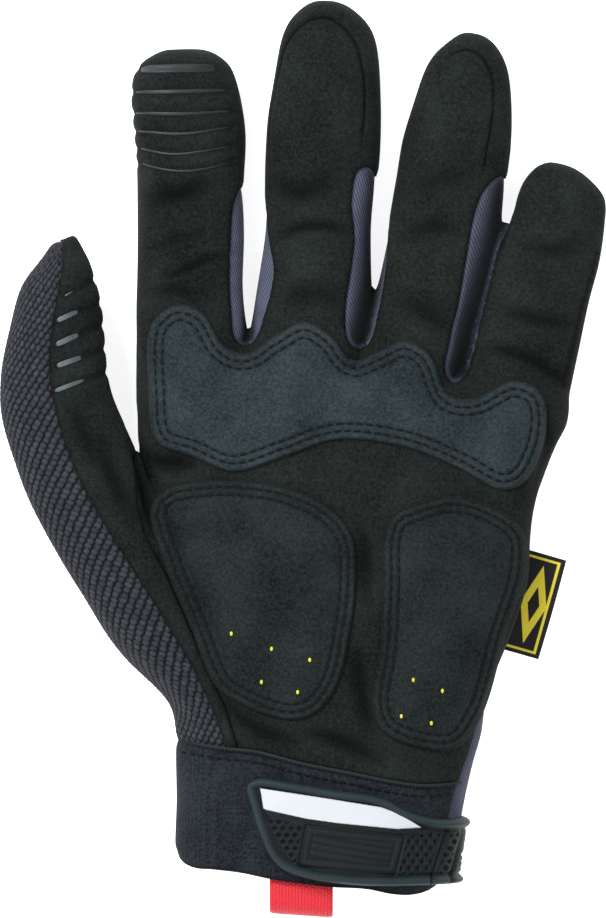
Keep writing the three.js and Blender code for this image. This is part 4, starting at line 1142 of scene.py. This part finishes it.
def lay_ribbon(name, line, half_width, height, material, end_shade=0.0):
    """A raised band along a line: across it, a half ellipse whose edges lie just under the skin.

    The last argument is the shade painted towards the line's ends, so the lit part reads as a highlight.
    """
    path = smooth_line(line, max(8, int(line_length(np.asarray(line)) / RIBBON_STEP)))
    ahead = unit(np.gradient(path, axis=0))
    side = np.column_stack([ahead[:, 1], -ahead[:, 0]])
    across = np.linspace(-1, 1, RIBBON_COLUMNS)
    taper = np.sqrt(np.clip(1 - np.linspace(-1, 1, len(path)) ** RIBBON_TAPER, RIBBON_END, 1))
    plan = path[:, None] + (across[None, :] * taper[:, None] * half_width)[..., None] * side[:, None]
    lift = height * (np.sqrt(1.0 - across ** 2)[None, :] * taper[:, None]) - RIBBON_SINK
    points = on_skin(plan.reshape(-1, 2), lift.reshape(-1))
    quads = as_grid(len(path), RIBBON_COLUMNS)
    uv = np.stack(np.broadcast_arrays(across * half_width, travelled(path)[:, None]), -1).reshape(-1, 2)
    share = np.repeat(np.linspace(0, 1, len(path)), RIBBON_COLUMNS)
    # Shade painted towards the ends, so the print's lit part reads as a highlight.
    hollow = end_shade * np.maximum(smooth_step(share, *SHADE_TO_END), 1 - smooth_step(share, *SHADE_FROM_START))
    return thicken(add_mesh(name, points, quads, material, None, uv=uv, hollow=hollow), RIBBON_THICKNESS)


# Closure

def on_tab(points):
    """Shares of the tab's length and width as millimetres on the plan."""
    return TAB_CORNER + np.asarray(points, float) * (TAB_LENGTH, TAB_WIDTH)


def straight_loop(points, step=0.8):
    """The closed outline with straight sides, as points at even steps."""
    corners = np.concatenate([points, points[:1]])
    return even_steps(corners, int(line_length(corners) / step))[:-1]


def bent(value, power=2 / BODY_SQUARENESS):
    """A circle's coordinate as a superellipse has it: its size to a power, with its own sign."""
    return np.sign(value) * np.abs(value) ** power


def closure_grid():
    """The cuff's outer face from left of the tab, over the palm side and down past the wrist's edge.

    Rows run along the cuff. Columns are even steps along its section, a superellipse, in the turn from
    the left to below the right edge. Past the edge the plan is folded open, so outlines stay in one plan.
    """
    along = np.arange(TAB_CORNER[1] - GRID_MARGIN, GRID_TOP, TAB_STEP)
    turns = np.linspace(*GRID_TURNS, GRID_FINENESS)
    half = np.array([CUFF_WIDTH, CUFF_DEPTH]) / 2
    travel = travelled(np.column_stack([bent(np.cos(turns)), bent(np.sin(turns))]) * half)
    turns = np.interp(np.arange(0, travel[-1], TAB_STEP), travel, turns)
    left, right, deep = [column[:, None] for column in look_up(BODY, along)]
    across = (left + right) / 2 + (right - left) / 2 * bent(np.cos(turns))
    up = deep / 2 - FLOOR_SINK + deep / 2 * bent(np.sin(turns))
    points = np.stack([across, np.broadcast_to(along[:, None], across.shape), up], -1)
    down = np.gradient(points, axis=0)
    over = np.gradient(points, axis=1)
    normals = unit(np.cross(over, down))
    folded = np.where(turns < 0, 2 * right - across, across)
    plan = np.stack([folded, points[..., 1]], -1)
    quads = as_grid(len(along), len(turns))
    return points.reshape(-1, 3), normals.reshape(-1, 3), plan.reshape(-1, 2), quads


def tab_height(plan, inset):
    """The tab's relief over the cuff: a round rim, a plate, dimples, a sunk plaque field and grooves.

    The second value is the painted shade of each point, from 0 to 1: plate, moat, ditch, grooves, dimples.
    """
    rim = TAB_RIM * (1 - RIM_FADE * smooth_step(plan[:, 0], TAB_TURN - RIM_FADE_LENGTH, TAB_TURN))
    outer = quarter_round(inset, TAB_RIM_WIDTH / 2)
    inner = 1 - smooth_step(inset, TAB_RIM_WIDTH / 2, TAB_RIM_WIDTH * RIM_INNER_SHARE)
    height = (TAB_PLATE + rim) * outer - rim * (1 - inner)
    moat = bell(inset - TAB_RIM_WIDTH * MOAT_SHARE, MOAT_WIDTH)
    height -= MOAT_DEPTH * moat
    panel = inside_distance(plan, straight_loop(on_tab(PANEL_OUTLINE)))
    plaque = inside_distance(plan, straight_loop(on_tab(PLAQUE_OUTLINE)))
    field_start = TAB_RIM_WIDTH * FIELD_SHARE
    within = smooth_step(inset, field_start, field_start + FIELD_EDGE)
    height += PANEL_RIM_HEIGHT * within * bell(panel + PANEL_RIM_OFF, PANEL_RIM_WIDTH)
    ditch = bell(plaque + DITCH_OFF, DITCH_WIDTH)
    height -= DITCH_DEPTH * ditch + PLAQUE_SINK * smooth_step(plaque, 0, PLAQUE_SINK_EDGE)
    field = within * smooth_step(-panel, *PANEL_CLEAR) * smooth_step(-plaque, *PLAQUE_CLEAR)
    cuts = np.zeros(len(plan))
    for pixels in TAB_GROOVES:
        groove = line_distance(plan, traced(pixels))
        cuts = np.maximum(cuts, bell(groove, GROOVE_WIDTH))
        field = field * smooth_step(groove, *GROOVE_CLEAR)
    pits = field * dimples(plan)
    height -= GROOVE_DEPTH * cuts + DIMPLE_DEPTH * pits
    # Shade painted over the plate inside the rim, so that the rim stands out lighter.
    plate_start, plate_end = [TAB_RIM_WIDTH * share for share in PLATE_SHARES]
    plate = PLATE_SHADE * smooth_step(inset, plate_start, plate_end)
    return height, np.maximum.reduce([plate, pits, cuts, MOAT_SHADE * moat, DITCH_SHADE * ditch])


def dimples(plan):
    """Diamond-shaped pits on a staggered lattice.

    Each is e to minus the fourth power of the distance from its middle over its radius.
    """
    row = np.round(plan[:, 1] / (DIMPLE_PITCH * DIMPLE_ROW))
    across = plan[:, 0] / DIMPLE_PITCH + 0.5 * (row % 2)
    sideways = np.abs(across - np.round(across)) * DIMPLE_PITCH
    off = DIMPLE_ROW * (sideways + np.abs(plan[:, 1] - row * DIMPLE_PITCH * DIMPLE_ROW))
    return np.exp(-(off / DIMPLE_RADIUS) ** DIMPLE_SHARPNESS)


def closure_piece(name, grid, outline, height_of, thickness, slot):
    """The part of the closure's grid inside an outline and above the foot, lifted by its own relief."""
    points, normals, plan, quads = grid
    foot = points[:, 2] - TAB_FOOT_HEIGHT
    inset = np.minimum(inside_distance(plan, outline), foot)
    rows, faces = clipped(np.column_stack([points, normals, plan, inset]), split_quads(quads), inset)
    height, hollow = height_of(rows[:, 6:8], rows[:, 8])
    place = rows[:, :3] + unit(rows[:, 3:6]) * (GAP + height)[:, None]
    piece = add_mesh(name + "_cover", place, faces, MATERIALS[slot], slot, uv=rows[:, 6:8], hollow=hollow)
    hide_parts(name)
    return thicken(piece, thickness)


def panel_height(_, inset):
    """The panel's relief, the same all over its plan: a thin film on the plate with a rounded edge."""
    return TAB_PLATE + PLATE_EDGE_HEIGHT * quarter_round(inset, PLATE_EDGE), 0 * inset


def plaque_height(plan, inset):
    """The plaque's relief: a thin frame round a sunk field with plain level ribs."""
    frame_line = bell(inset - FRAME_OFF, FRAME_WIDTH)
    level = (plan[:, 1] + RIB_SLOPE * plan[:, 0]) / RIB_PITCH
    ribs = smooth_step(np.abs(level - np.round(level)), *RIB_SPAN) * smooth_step(inset, *RIB_CLEAR)
    edge = PLATE_EDGE_HEIGHT * quarter_round(inset, PLATE_EDGE)
    # Shade painted over the whole plaque, more between its ribs.
    hollow = PLAQUE_SHADE + RIB_SHADE * smooth_step(inset, *RIB_SHADE_CLEAR) * (1 - ribs)
    return TAB_PLATE - PLAQUE_SINK + edge + FRAME_HEIGHT * frame_line + RIB_HEIGHT * ribs, hollow


def make_closure():
    """The tab, and the panel and the plaque on it, all laid over the same grid."""
    grid = closure_grid()
    tab = smooth_loop(on_tab(TAB_OUTLINE), 240)
    panel, plaque = straight_loop(on_tab(PANEL_OUTLINE)), straight_loop(on_tab(PLAQUE_OUTLINE))
    closure_piece("closure_tab", grid, tab, tab_height, TAB_THICKNESS, "closure_rubber")
    closure_piece("closure_panel", grid, panel, panel_height, PANEL_THICKNESS, "closure_panel")
    closure_piece("closure_plaque", grid, plaque, plaque_height, PLAQUE_THICKNESS, "closure_rubber")


# Pull loop and side tag

def make_pull_loop():
    """A flat band of webbing swept round a stadium-shaped path, sewn under the cuff's edge."""
    low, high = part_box("pull_loop")
    low, high = np.array(low) / MM - ROW_SHIFT, np.array(high) / MM - ROW_SHIFT
    radius = (LOOP_HEIGHT - LOOP_WEBBING) / 2
    middle = np.array([(low[0] + high[0]) / 2, (low[2] + high[2]) / 2])
    outer_end, inner_end = low[1] + LOOP_HEIGHT / 2 + LOOP_DROP, high[1] - LOOP_HEIGHT / 2
    bend = np.linspace(0, math.pi, LOOP_BEND_STEPS)
    bottom = np.column_stack([outer_end - radius * np.sin(bend), -radius * np.cos(bend)])
    top = np.column_stack([inner_end + radius * np.sin(bend), radius * np.cos(bend)])
    path = even_steps(np.concatenate([bottom, top]), LOOP_STEPS, closed=True)
    ahead = unit(np.roll(path, -1, 0) - np.roll(path, 1, 0))
    out = np.column_stack([-ahead[:, 1], ahead[:, 0]])
    turn = np.linspace(0, 2 * math.pi, LOOP_SIDES, endpoint=False)
    wide = LOOP_WIDTH / 2 * bent(np.cos(turn), LOOP_FLATNESS)
    thick = LOOP_WEBBING / 2 * bent(np.sin(turn), LOOP_EDGE_ROUNDNESS)
    section = path[:, None] + thick[None, :, None] * out[:, None]
    across = np.broadcast_to(wide[None, :], section.shape[:2])
    along = section[..., 0] - math.tan(LOOP_SLANT) * across
    points = np.stack([middle[0] + across, along, section[..., 1] + middle[1]], -1)
    quads = as_grid(len(path) + 1, len(turn), closed=True)
    distance = np.linspace(0, line_length(np.concatenate([path, path[:1]])), len(path), endpoint=False)
    uv = np.stack([across, np.broadcast_to(distance[:, None], across.shape)], -1)
    quads = quads % (len(path) * len(turn))
    piece = add_mesh("pull_loop_webbing", points.reshape(-1, 3), quads, MATERIALS["loop_webbing"],
                     "loop_webbing", uv=uv.reshape(-1, 2))
    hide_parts("pull_loop")


def make_side_tag():
    """A flat tag between its four corners, rising a little to its free side."""
    corners = traced(TAG_CORNERS)
    inward = unit(corners[0] - corners[1])
    corners[[0, 3]] += inward * TAG_TUCK
    along, out = np.linspace(0, 1, TAG_ROWS)[:, None, None], np.linspace(0, 1, TAG_COLUMNS)[None, :, None]
    near = corners[0] * (1 - along) + corners[3] * along
    far = corners[1] * (1 - along) + corners[2] * along
    plan = near * (1 - out) + far * out
    up = SIDE_SEAM_HEIGHT + TAG_THICKNESS + TAG_TIP_LIFT * out[..., 0] ** 2 * np.sin(math.pi * along[..., 0])
    points = np.concatenate([plan, np.broadcast_to(up, plan.shape[:2])[..., None]], -1)
    uv = np.concatenate(np.broadcast_arrays(out, along), -1)
    quads = as_grid(TAG_ROWS, TAG_COLUMNS)[:, ::-1]
    piece = add_mesh("side_tag_label", points.reshape(-1, 3), quads, MATERIALS["tag_weave"], "tag_weave",
                     uv=uv.reshape(-1, 2))
    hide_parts("side_tag")
    thicken(piece, TAG_THICKNESS)


# Materials

class Value:
    """A socket's output, with arithmetic that adds Math nodes to its shader."""

    def __init__(self, shader, socket):
        self.shader, self.socket = shader, socket

    def maths(self, operation, *others):
        return self.shader.add("ShaderNodeMath", {"operation": operation}, [self, *others])

    def __add__(self, other):
        return self.maths("ADD", other)

    def __sub__(self, other):
        return self.maths("SUBTRACT", other)

    def __mul__(self, other):
        return self.maths("MULTIPLY", other)

    def __truediv__(self, other):
        return self.maths("DIVIDE", other)

    def __pow__(self, other):
        return self.maths("POWER", other)

    def __neg__(self):
        return self.maths("MULTIPLY", -1.0)

    def __abs__(self):
        return self.maths("ABSOLUTE")

    def __rsub__(self, other):
        return -self + other

    __radd__ = __add__
    __rmul__ = __mul__

    def sin(self):
        return self.maths("SINE")

    def floor(self):
        return self.maths("FLOOR")

    def clamp(self):
        return self.shader.add("ShaderNodeClamp", {}, [self])

    def between(self, low, high):
        """0 below low, 1 above high, and smooth between them."""
        node = {"interpolation_type": "SMOOTHSTEP"}
        return self.shader.add("ShaderNodeMapRange", node, [self, low, high, 0.0, 1.0])

    def ridges(self, pitch):
        """Rounded ridges: the size of the sine of half a turn for each pitch."""
        return abs((self * (math.pi / pitch)).sin())


class Shader:
    """A material around one Principled BSDF whose constants are set on its sockets."""

    def __init__(self, name, **constants):
        self.material = bpy.data.materials.new(name)
        self.material.use_nodes = True
        self.tree = self.material.node_tree
        self.surface = self.tree.nodes["Principled BSDF"]
        for socket, value in constants.items():
            self.surface.inputs[socket.replace("_", " ")].default_value = value

    def add(self, kind, settings, inputs, output=0):
        """A node with its settings and its inputs, by place or by name, and the value that it gives."""
        node = self.tree.nodes.new(kind)
        for key, value in settings.items():
            setattr(node, key, value)
        named = inputs if isinstance(inputs, dict) else dict(enumerate(inputs))
        for key, value in named.items():
            self.join(value, node.inputs[key])
        return Value(self, node.outputs[output])

    def join(self, value, socket):
        if isinstance(value, Value):
            self.tree.links.new(value.socket, socket)
        else:
            socket.default_value = value

    def place(self):
        return self.add("ShaderNodeTexCoord", {}, {}, "Object")

    def cloth(self):
        """The piece's own UV map in millimetres, across and along."""
        uv = self.add("ShaderNodeUVMap", {"uv_map": "UVMap"}, {}, "UV")
        parts = self.tree.nodes.new("ShaderNodeSeparateXYZ")
        self.join(uv, parts.inputs[0])
        return Value(self, parts.outputs[0]) / MM, Value(self, parts.outputs[1]) / MM

    def mark(self, name):
        """One of the piece's own marks, and 0 on a piece that has none."""
        return self.add("ShaderNodeAttribute", {"attribute_name": name}, {}, "Fac")

    def noise(self, size, detail=2.0, roughness=0.5):
        """Noise with a given size of its grains in millimetres."""
        inputs = {"Vector": self.place(), "Scale": 1 / (size * MM), "Detail": detail, "Roughness": roughness}
        return self.add("ShaderNodeTexNoise", {}, inputs, 0)

    def mix(self, factor, low, high):
        """A colour between two others, the first at factor 0 and the second at 1."""
        inputs = {0: factor, 6: low, 7: high}
        return self.add("ShaderNodeMix", {"data_type": "RGBA"}, inputs, 2)

    def hollowed(self, strength, colour):
        """A colour darkened to black by the shade painted on the piece, by a share of strength at the most.
        """
        return self.mix(self.mark("hollow") * strength, colour, PAINTED_SHADE_BLACK)

    def finish(self, colour=None, height=None, depth=0.1, roughness=None):
        """Feeds the surface: its colour, its roughness, and a height in depths of millimetres as bump."""
        if colour is not None:
            self.join(colour, self.surface.inputs["Base Color"])
        if roughness is not None:
            self.join(roughness, self.surface.inputs["Roughness"])
        if height is not None:
            bump = self.add("ShaderNodeBump", {}, {"Strength": 1.0, "Distance": depth * MM, "Height": height})
            self.join(bump, self.surface.inputs["Normal"])
        return self.material


def weighted(values, weights):
    """The values times their weights, added up, plus the last weight if it has no value."""
    total = values[0] * weights[0]
    for value, weight in zip(values[1:], weights[1:]):
        total = total + value * weight
    return total + weights[-1] if len(weights) > len(values) else total


def staggered(across, along, pitch):
    """The place along a cloth, set off by half a pitch from one column to the next."""
    return along + (across / pitch).floor() * (pitch / 2)


def suede(name, dark, light, sheen):
    """Brushed suede: soft patches, a fine mottle, stray light fibres, and shade painted where it lies hollow.
    """
    shader = Shader(name, Roughness=0.92, Sheen_Weight=sheen, Sheen_Roughness=0.5, Specular_IOR_Level=0.06)
    patches = shader.noise(PATCH_SIZE, detail=3.0)
    mottle = shader.noise(MOTTLE_SIZE, detail=4.0, roughness=0.8)
    nap = shader.noise(NAP_SIZE)
    fibres = shader.noise(FIBRE_SIZE, detail=1.0).between(*FIBRE_SPAN)
    tone = weighted((patches, mottle), SUEDE_TONE).clamp()
    fleck = tuple(channel * FIBRE_LIGHT for channel in light[:3]) + (1,)
    nap_colour = shader.mix(fibres * FIBRE_SHARE, shader.mix(tone, dark, light), fleck)
    shaded = shader.hollowed(SUEDE_PAINTED_SHADE, nap_colour)
    return shader.finish(shaded, weighted((mottle, nap), SUEDE_BUMP), depth=0.2)


def twill(name, dark, light, pitch):
    """Stretch twill: thin diagonal ridges, each cut into short yarns."""
    shader = Shader(name, Roughness=0.8, Sheen_Weight=0.03, Specular_IOR_Level=0.12)
    cloth = shader.cloth()
    wale = weighted(cloth, TWILL_WALE).ridges(pitch)
    yarns = weighted(cloth, TWILL_YARN).ridges(pitch * TWILL_YARN_PITCH)
    height = weighted((wale, wale * yarns), TWILL_RELIEF)
    tone = weighted((height, shader.noise(TWILL_CLOUD)), TWILL_TONE).clamp()
    return shader.finish(shader.hollowed(TWILL_PAINTED_SHADE, shader.mix(tone, dark, light)), height, depth=0.14)


def knit(name, dark, light):
    """The knitted thumb: dark between its beads, each bead in its own shade with a fine yarn grain."""
    shader = Shader(name, Roughness=0.8, Sheen_Weight=0.02, Specular_IOR_Level=0.12)
    yarn_grain = shader.noise(KNIT_YARN)
    bead = shader.mark("grain").between(*KNIT_SPAN)
    shaded_bead = bead * weighted([shader.mark("shade")], KNIT_SHADES)
    tone = weighted((shaded_bead, yarn_grain), KNIT_TONE).clamp()
    return shader.finish(shader.hollowed(KNIT_PAINTED_SHADE, shader.mix(tone, dark, light)), yarn_grain, depth=0.12)


def elastic(name, dark, light, pitch):
    """Fine knitted elastic: narrow columns of small stitches with a fleck of lighter yarn."""
    shader = Shader(name, Roughness=0.85, Sheen_Weight=0.02, Specular_IOR_Level=0.1)
    across, along = shader.cloth()
    column = across.ridges(pitch)
    stitch = staggered(across, along, pitch).ridges(pitch)
    height = weighted((column, column * stitch), ELASTIC_RELIEF)
    fleck = shader.noise(ELASTIC_FLECK, detail=4.0, roughness=0.75)
    tone = weighted((height, fleck, shader.noise(ELASTIC_CLOUD)), ELASTIC_TONE).clamp()
    shaded = shader.hollowed(KNIT_PAINTED_SHADE, shader.mix(tone, dark, light))
    return shader.finish(shaded, weighted((height, fleck), ELASTIC_BUMP), depth=0.16)


def rubber(name, dark, light, roughness, gloss=0.25):
    """Moulded rubber: a faint bloom and a fine grain, with shade painted where it lies hollow."""
    shader = Shader(name, Specular_IOR_Level=gloss)
    bloom = shader.noise(RUBBER_BLOOM, detail=3.0)
    shaded = shader.hollowed(RUBBER_PAINTED_SHADE, shader.mix(bloom, dark, light))
    rough = bloom * RUBBER_ROUGHENING + roughness
    return shader.finish(shaded, shader.noise(RUBBER_GRAIN), depth=0.03, roughness=rough)


def film(name, low, high):
    """A bare white film, glossy, with faint handling marks."""
    shader = Shader(name, Specular_IOR_Level=0.5, Coat_Weight=0.3)
    marks = shader.noise(FILM_MARKS, detail=4.0, roughness=0.6)
    rough = weighted([marks], FILM_ROUGHNESS)
    return shader.finish(shader.mix(marks, low, high), marks, depth=0.04, roughness=rough)


def webbing(name, dark, light, pitch):
    """Plain-woven webbing: crossed yarns that pass over and under each other."""
    shader = Shader(name, Roughness=0.6, Sheen_Weight=0.2, Specular_IOR_Level=0.35)
    across, along = shader.cloth()
    weft = staggered(across, along, pitch).ridges(pitch)
    height = weighted((across.ridges(pitch), weft), WEBBING_RELIEF) ** WEBBING_SHARPNESS
    tone = weighted((height, shader.noise(WEBBING_GRAIN, detail=3.0)), WEBBING_TONE).clamp()
    return shader.finish(shader.mix(tone, dark, light), height, depth=0.18)


def label(name, ground, ground_light, line):
    """A woven label: fine rows, a plain line parallel to its edges and a lozenge. Its UV runs from 0 to 1."""
    shader = Shader(name, Roughness=0.7, Specular_IOR_Level=0.15)
    across, along = shader.cloth()
    edge = (0.5 - abs(across - 0.5)).maths("MINIMUM", (0.5 - abs(along - 0.5)) * TAG_ASPECT)
    frame_line = edge.between(*TAG_LINE_OUTSIDE) * (1.0 - edge.between(*TAG_LINE_INSIDE))
    off_middle = [abs(place - middle) for place, middle in zip((across, along), LOZENGE_MIDDLE)]
    from_middle = weighted(off_middle, LOZENGE_STRETCH)
    lozenge = from_middle.between(*LOZENGE_INSIDE) * (1.0 - from_middle.between(*LOZENGE_OUTSIDE))
    woven = frame_line + lozenge
    rows = along.ridges(1 / TAG_WEAVE_ROWS)
    cloth = shader.mix(rows, ground, ground_light)
    return shader.finish(shader.mix(woven, cloth, line), rows + woven * TAG_LINE_BUMP, depth=0.08)


def yarn(name, dark, light):
    """Spun yarn: fine strands between a dark and a light colour."""
    shader = Shader(name, Roughness=0.85, Specular_IOR_Level=0.1)
    strands = shader.noise(YARN_STRANDS)
    return shader.finish(shader.mix(strands, dark, light), strands, depth=0.05)


def floor_paint(name, low, high):
    """A bright floor with a glow of its own and faint clouds."""
    shader = Shader(name, Roughness=0.9, Specular_IOR_Level=0.1, Emission_Strength=FLOOR_GLOW,
                    Emission_Color=WHITE)
    return shader.finish(shader.mix(shader.noise(FLOOR_CLOUD), low, high))


MATERIALS = {
    "palm_suede": suede("palm_suede", (0.0028, 0.0038, 0.0036, 1), (0.0175, 0.0228, 0.0215, 1), sheen=0.02),
    "heel_suede": suede("heel_suede", (0.004, 0.0056, 0.0055, 1), (0.0215, 0.028, 0.028, 1), sheen=0.02),
    "knuckle_suede": suede("knuckle_suede", (0.007, 0.0115, 0.0128, 1), (0.034, 0.048, 0.0525, 1),
                           sheen=0.03),
    "back_fabric": twill("back_fabric", (0.016, 0.017, 0.029, 1), (0.078, 0.083, 0.13, 1), pitch=1.1),
    "side_wall_fabric": twill("side_wall_fabric", (0.02, 0.0225, 0.036, 1), (0.099, 0.109, 0.163, 1),
                              pitch=1.1),
    "thumb_knit": knit("thumb_knit", (0.0015, 0.0015, 0.002, 1), (0.043, 0.0465, 0.059, 1)),
    "cuff_elastic": elastic("cuff_elastic", (0.0035, 0.005, 0.0065, 1), (0.03, 0.038, 0.047, 1), pitch=1.3),
    "closure_rubber": rubber("closure_rubber", (0.0115, 0.0205, 0.0235, 1), (0.0215, 0.035, 0.04, 1),
                             roughness=0.48, gloss=0.16),
    "closure_panel": film("closure_panel", (0.50, 0.53, 0.56, 1), (0.58, 0.61, 0.645, 1)),
    "loop_webbing": webbing("loop_webbing", (0.34, 0.001, 0.006, 1), (0.72, 0.014, 0.032, 1), pitch=0.9),
    "tag_weave": label("tag_weave", (0.006, 0.006, 0.007, 1), (0.02, 0.02, 0.022, 1), (0.75, 0.62, 0.05, 1)),
    "grip_print": rubber("grip_print", (0.010, 0.0145, 0.016, 1), (0.022, 0.03, 0.032, 1),
                         roughness=0.42, gloss=0.32),
    # A light copy of the print rubber: a painted highlight on the lit part of the thumb's ridges.
    "thumb_print_highlight": rubber("thumb_print_highlight", (0.045, 0.062, 0.067, 1), (0.095, 0.125, 0.138, 1),
                          roughness=0.32, gloss=0.5),
    "thread": yarn("thread", (0.003, 0.0035, 0.004, 1), (0.009, 0.011, 0.012, 1)),
    "binding": yarn("binding", (0.008, 0.011, 0.012, 1), (0.03, 0.04, 0.041, 1)),
    "dot_print": rubber("dot_print", (0.5, 0.46, 0.03, 1), (0.7, 0.66, 0.08, 1), roughness=0.4),
    "floor": floor_paint("floor", (0.86, 0.86, 0.86, 1), (0.9, 0.9, 0.9, 1)),
}


# Prints

def print_grip(finger, lines, material):
    """The printed part of each of a grip's lines, as a low raised band."""
    for number, (half_width, share, pixels) in enumerate(lines, 1):
        line = traced_line(pixels)
        printed = line[:max(2, round(share * len(line)))]
        name = f"{finger}_ridge_{number}"
        lay_ribbon(name, printed, half_width, RIDGE_HEIGHT, MATERIALS[material], RIDGE_END_SHADE)


def make_dots():
    """Small domed dots printed on the heel pads: rings from the middle to the rim."""
    centres = traced(DOTS)
    rings = np.linspace(DOT_MIDDLE, 1, DOT_RINGS)
    turns = np.linspace(0, 2 * math.pi, DOT_SIDES, endpoint=False)
    shape = rings[:, None, None] * np.stack([np.cos(turns), np.sin(turns)], -1) * DOT_RADII
    plan = (centres[:, None, None] + shape).reshape(-1, 2)
    dome = np.broadcast_to(DOT_HEIGHT * np.sqrt(1.0 - rings ** 2)[:, None], shape.shape[:2]).reshape(-1)
    up = surface_height(plan) + PAD_LIFT + PAD_CROWN + np.tile(dome, len(centres)) + DOT_LIFT
    faces = repeated(as_grid(DOT_RINGS, DOT_SIDES, closed=True), len(centres), DOT_RINGS * DOT_SIDES)
    add_mesh("heel_pad_dots", np.column_stack([plan, up]), faces[:, ::-1], MATERIALS["dot_print"], None)


# The glove

make_panels()

for pad_name, (pad_outline, pad_slot) in PADS.items():
    pad_loop = make_pad(pad_name, pad_outline, pad_slot)
    for number, channel in enumerate(CHANNELS, 1):
        sew(f"{pad_name}_stitches_{number}", inset_loop(pad_loop, channel), PAD_STITCH_PITCH,
            float(pad_profile(np.array(channel))) + PAD_STITCH_LIFT, closed=True)

print_grip("index", INDEX_GRIP, "grip_print")
# The thumb's bands are painted highlights over the lit part of its ridges.
print_grip("thumb", THUMB_GRIP, "thumb_print_highlight")

hem_line = traced_line(HEM_LINE, 300)
hem_line = hem_line[(hem_line[:, 0] > HEM_LEFT) & (hem_line[:, 0] < HEM_RIGHT)]
lay_ribbon("hem_binding", hem_line, BINDING_HALF_WIDTH, BINDING_HEIGHT, MATERIALS["binding"])
sew("hem_overlock", hem_line - (0, OVERLOCK_OFF), material="binding", **OVERLOCK)
sew("hem_stitches", hem_line[hem_line[:, 0] < HEM_STITCH_END] - (0, HEM_STITCH_OFF), **HEM_STITCHES)
sew("little_side_stitches", traced_line(SIDE_SEAM), **SIDE_STITCHES)

make_closure()
make_pull_loop()
make_side_tag()
make_dots()


# Floor, light and camera

bpy.ops.mesh.primitive_plane_add(size=FLOOR_REACH, location=(0, 0, -FLOOR_DROP))
floor = bpy.context.object
floor.name = "floor"
floor.data.materials.append(MATERIALS["floor"])

for light_name, facts in LIGHTS.items():
    lamp = bpy.data.lights.new(light_name, "AREA")
    lamp.shape, lamp.size, lamp.energy = "DISK", facts["size"], facts["power"]
    holder = bpy.data.objects.new(light_name, lamp)
    bpy.context.scene.collection.objects.link(holder)
    holder.location = facts["place"]
    toward = -holder.location
    holder.rotation_euler = toward.to_track_quat("-Z", "Y").to_euler()

world = bpy.data.worlds.new("studio")
world.use_nodes = True
world.node_tree.nodes["Background"].inputs["Color"].default_value = WHITE
world.node_tree.nodes["Background"].inputs["Strength"].default_value = WORLD_STRENGTH
bpy.context.scene.world = world
bpy.context.scene.view_settings.view_transform = "Standard"

camera_data = bpy.data.cameras.new("camera")
camera_data.lens, camera_data.sensor_width = CAMERA_LENS, SENSOR
camera = bpy.data.objects.new("camera", camera_data)
bpy.context.scene.collection.objects.link(camera)
camera.location = (0, 0, (PHOTO_SIZE[1] * PIXEL * CAMERA_LENS / SENSOR + FOCUS_HEIGHT) * MM)
bpy.context.scene.camera = camera
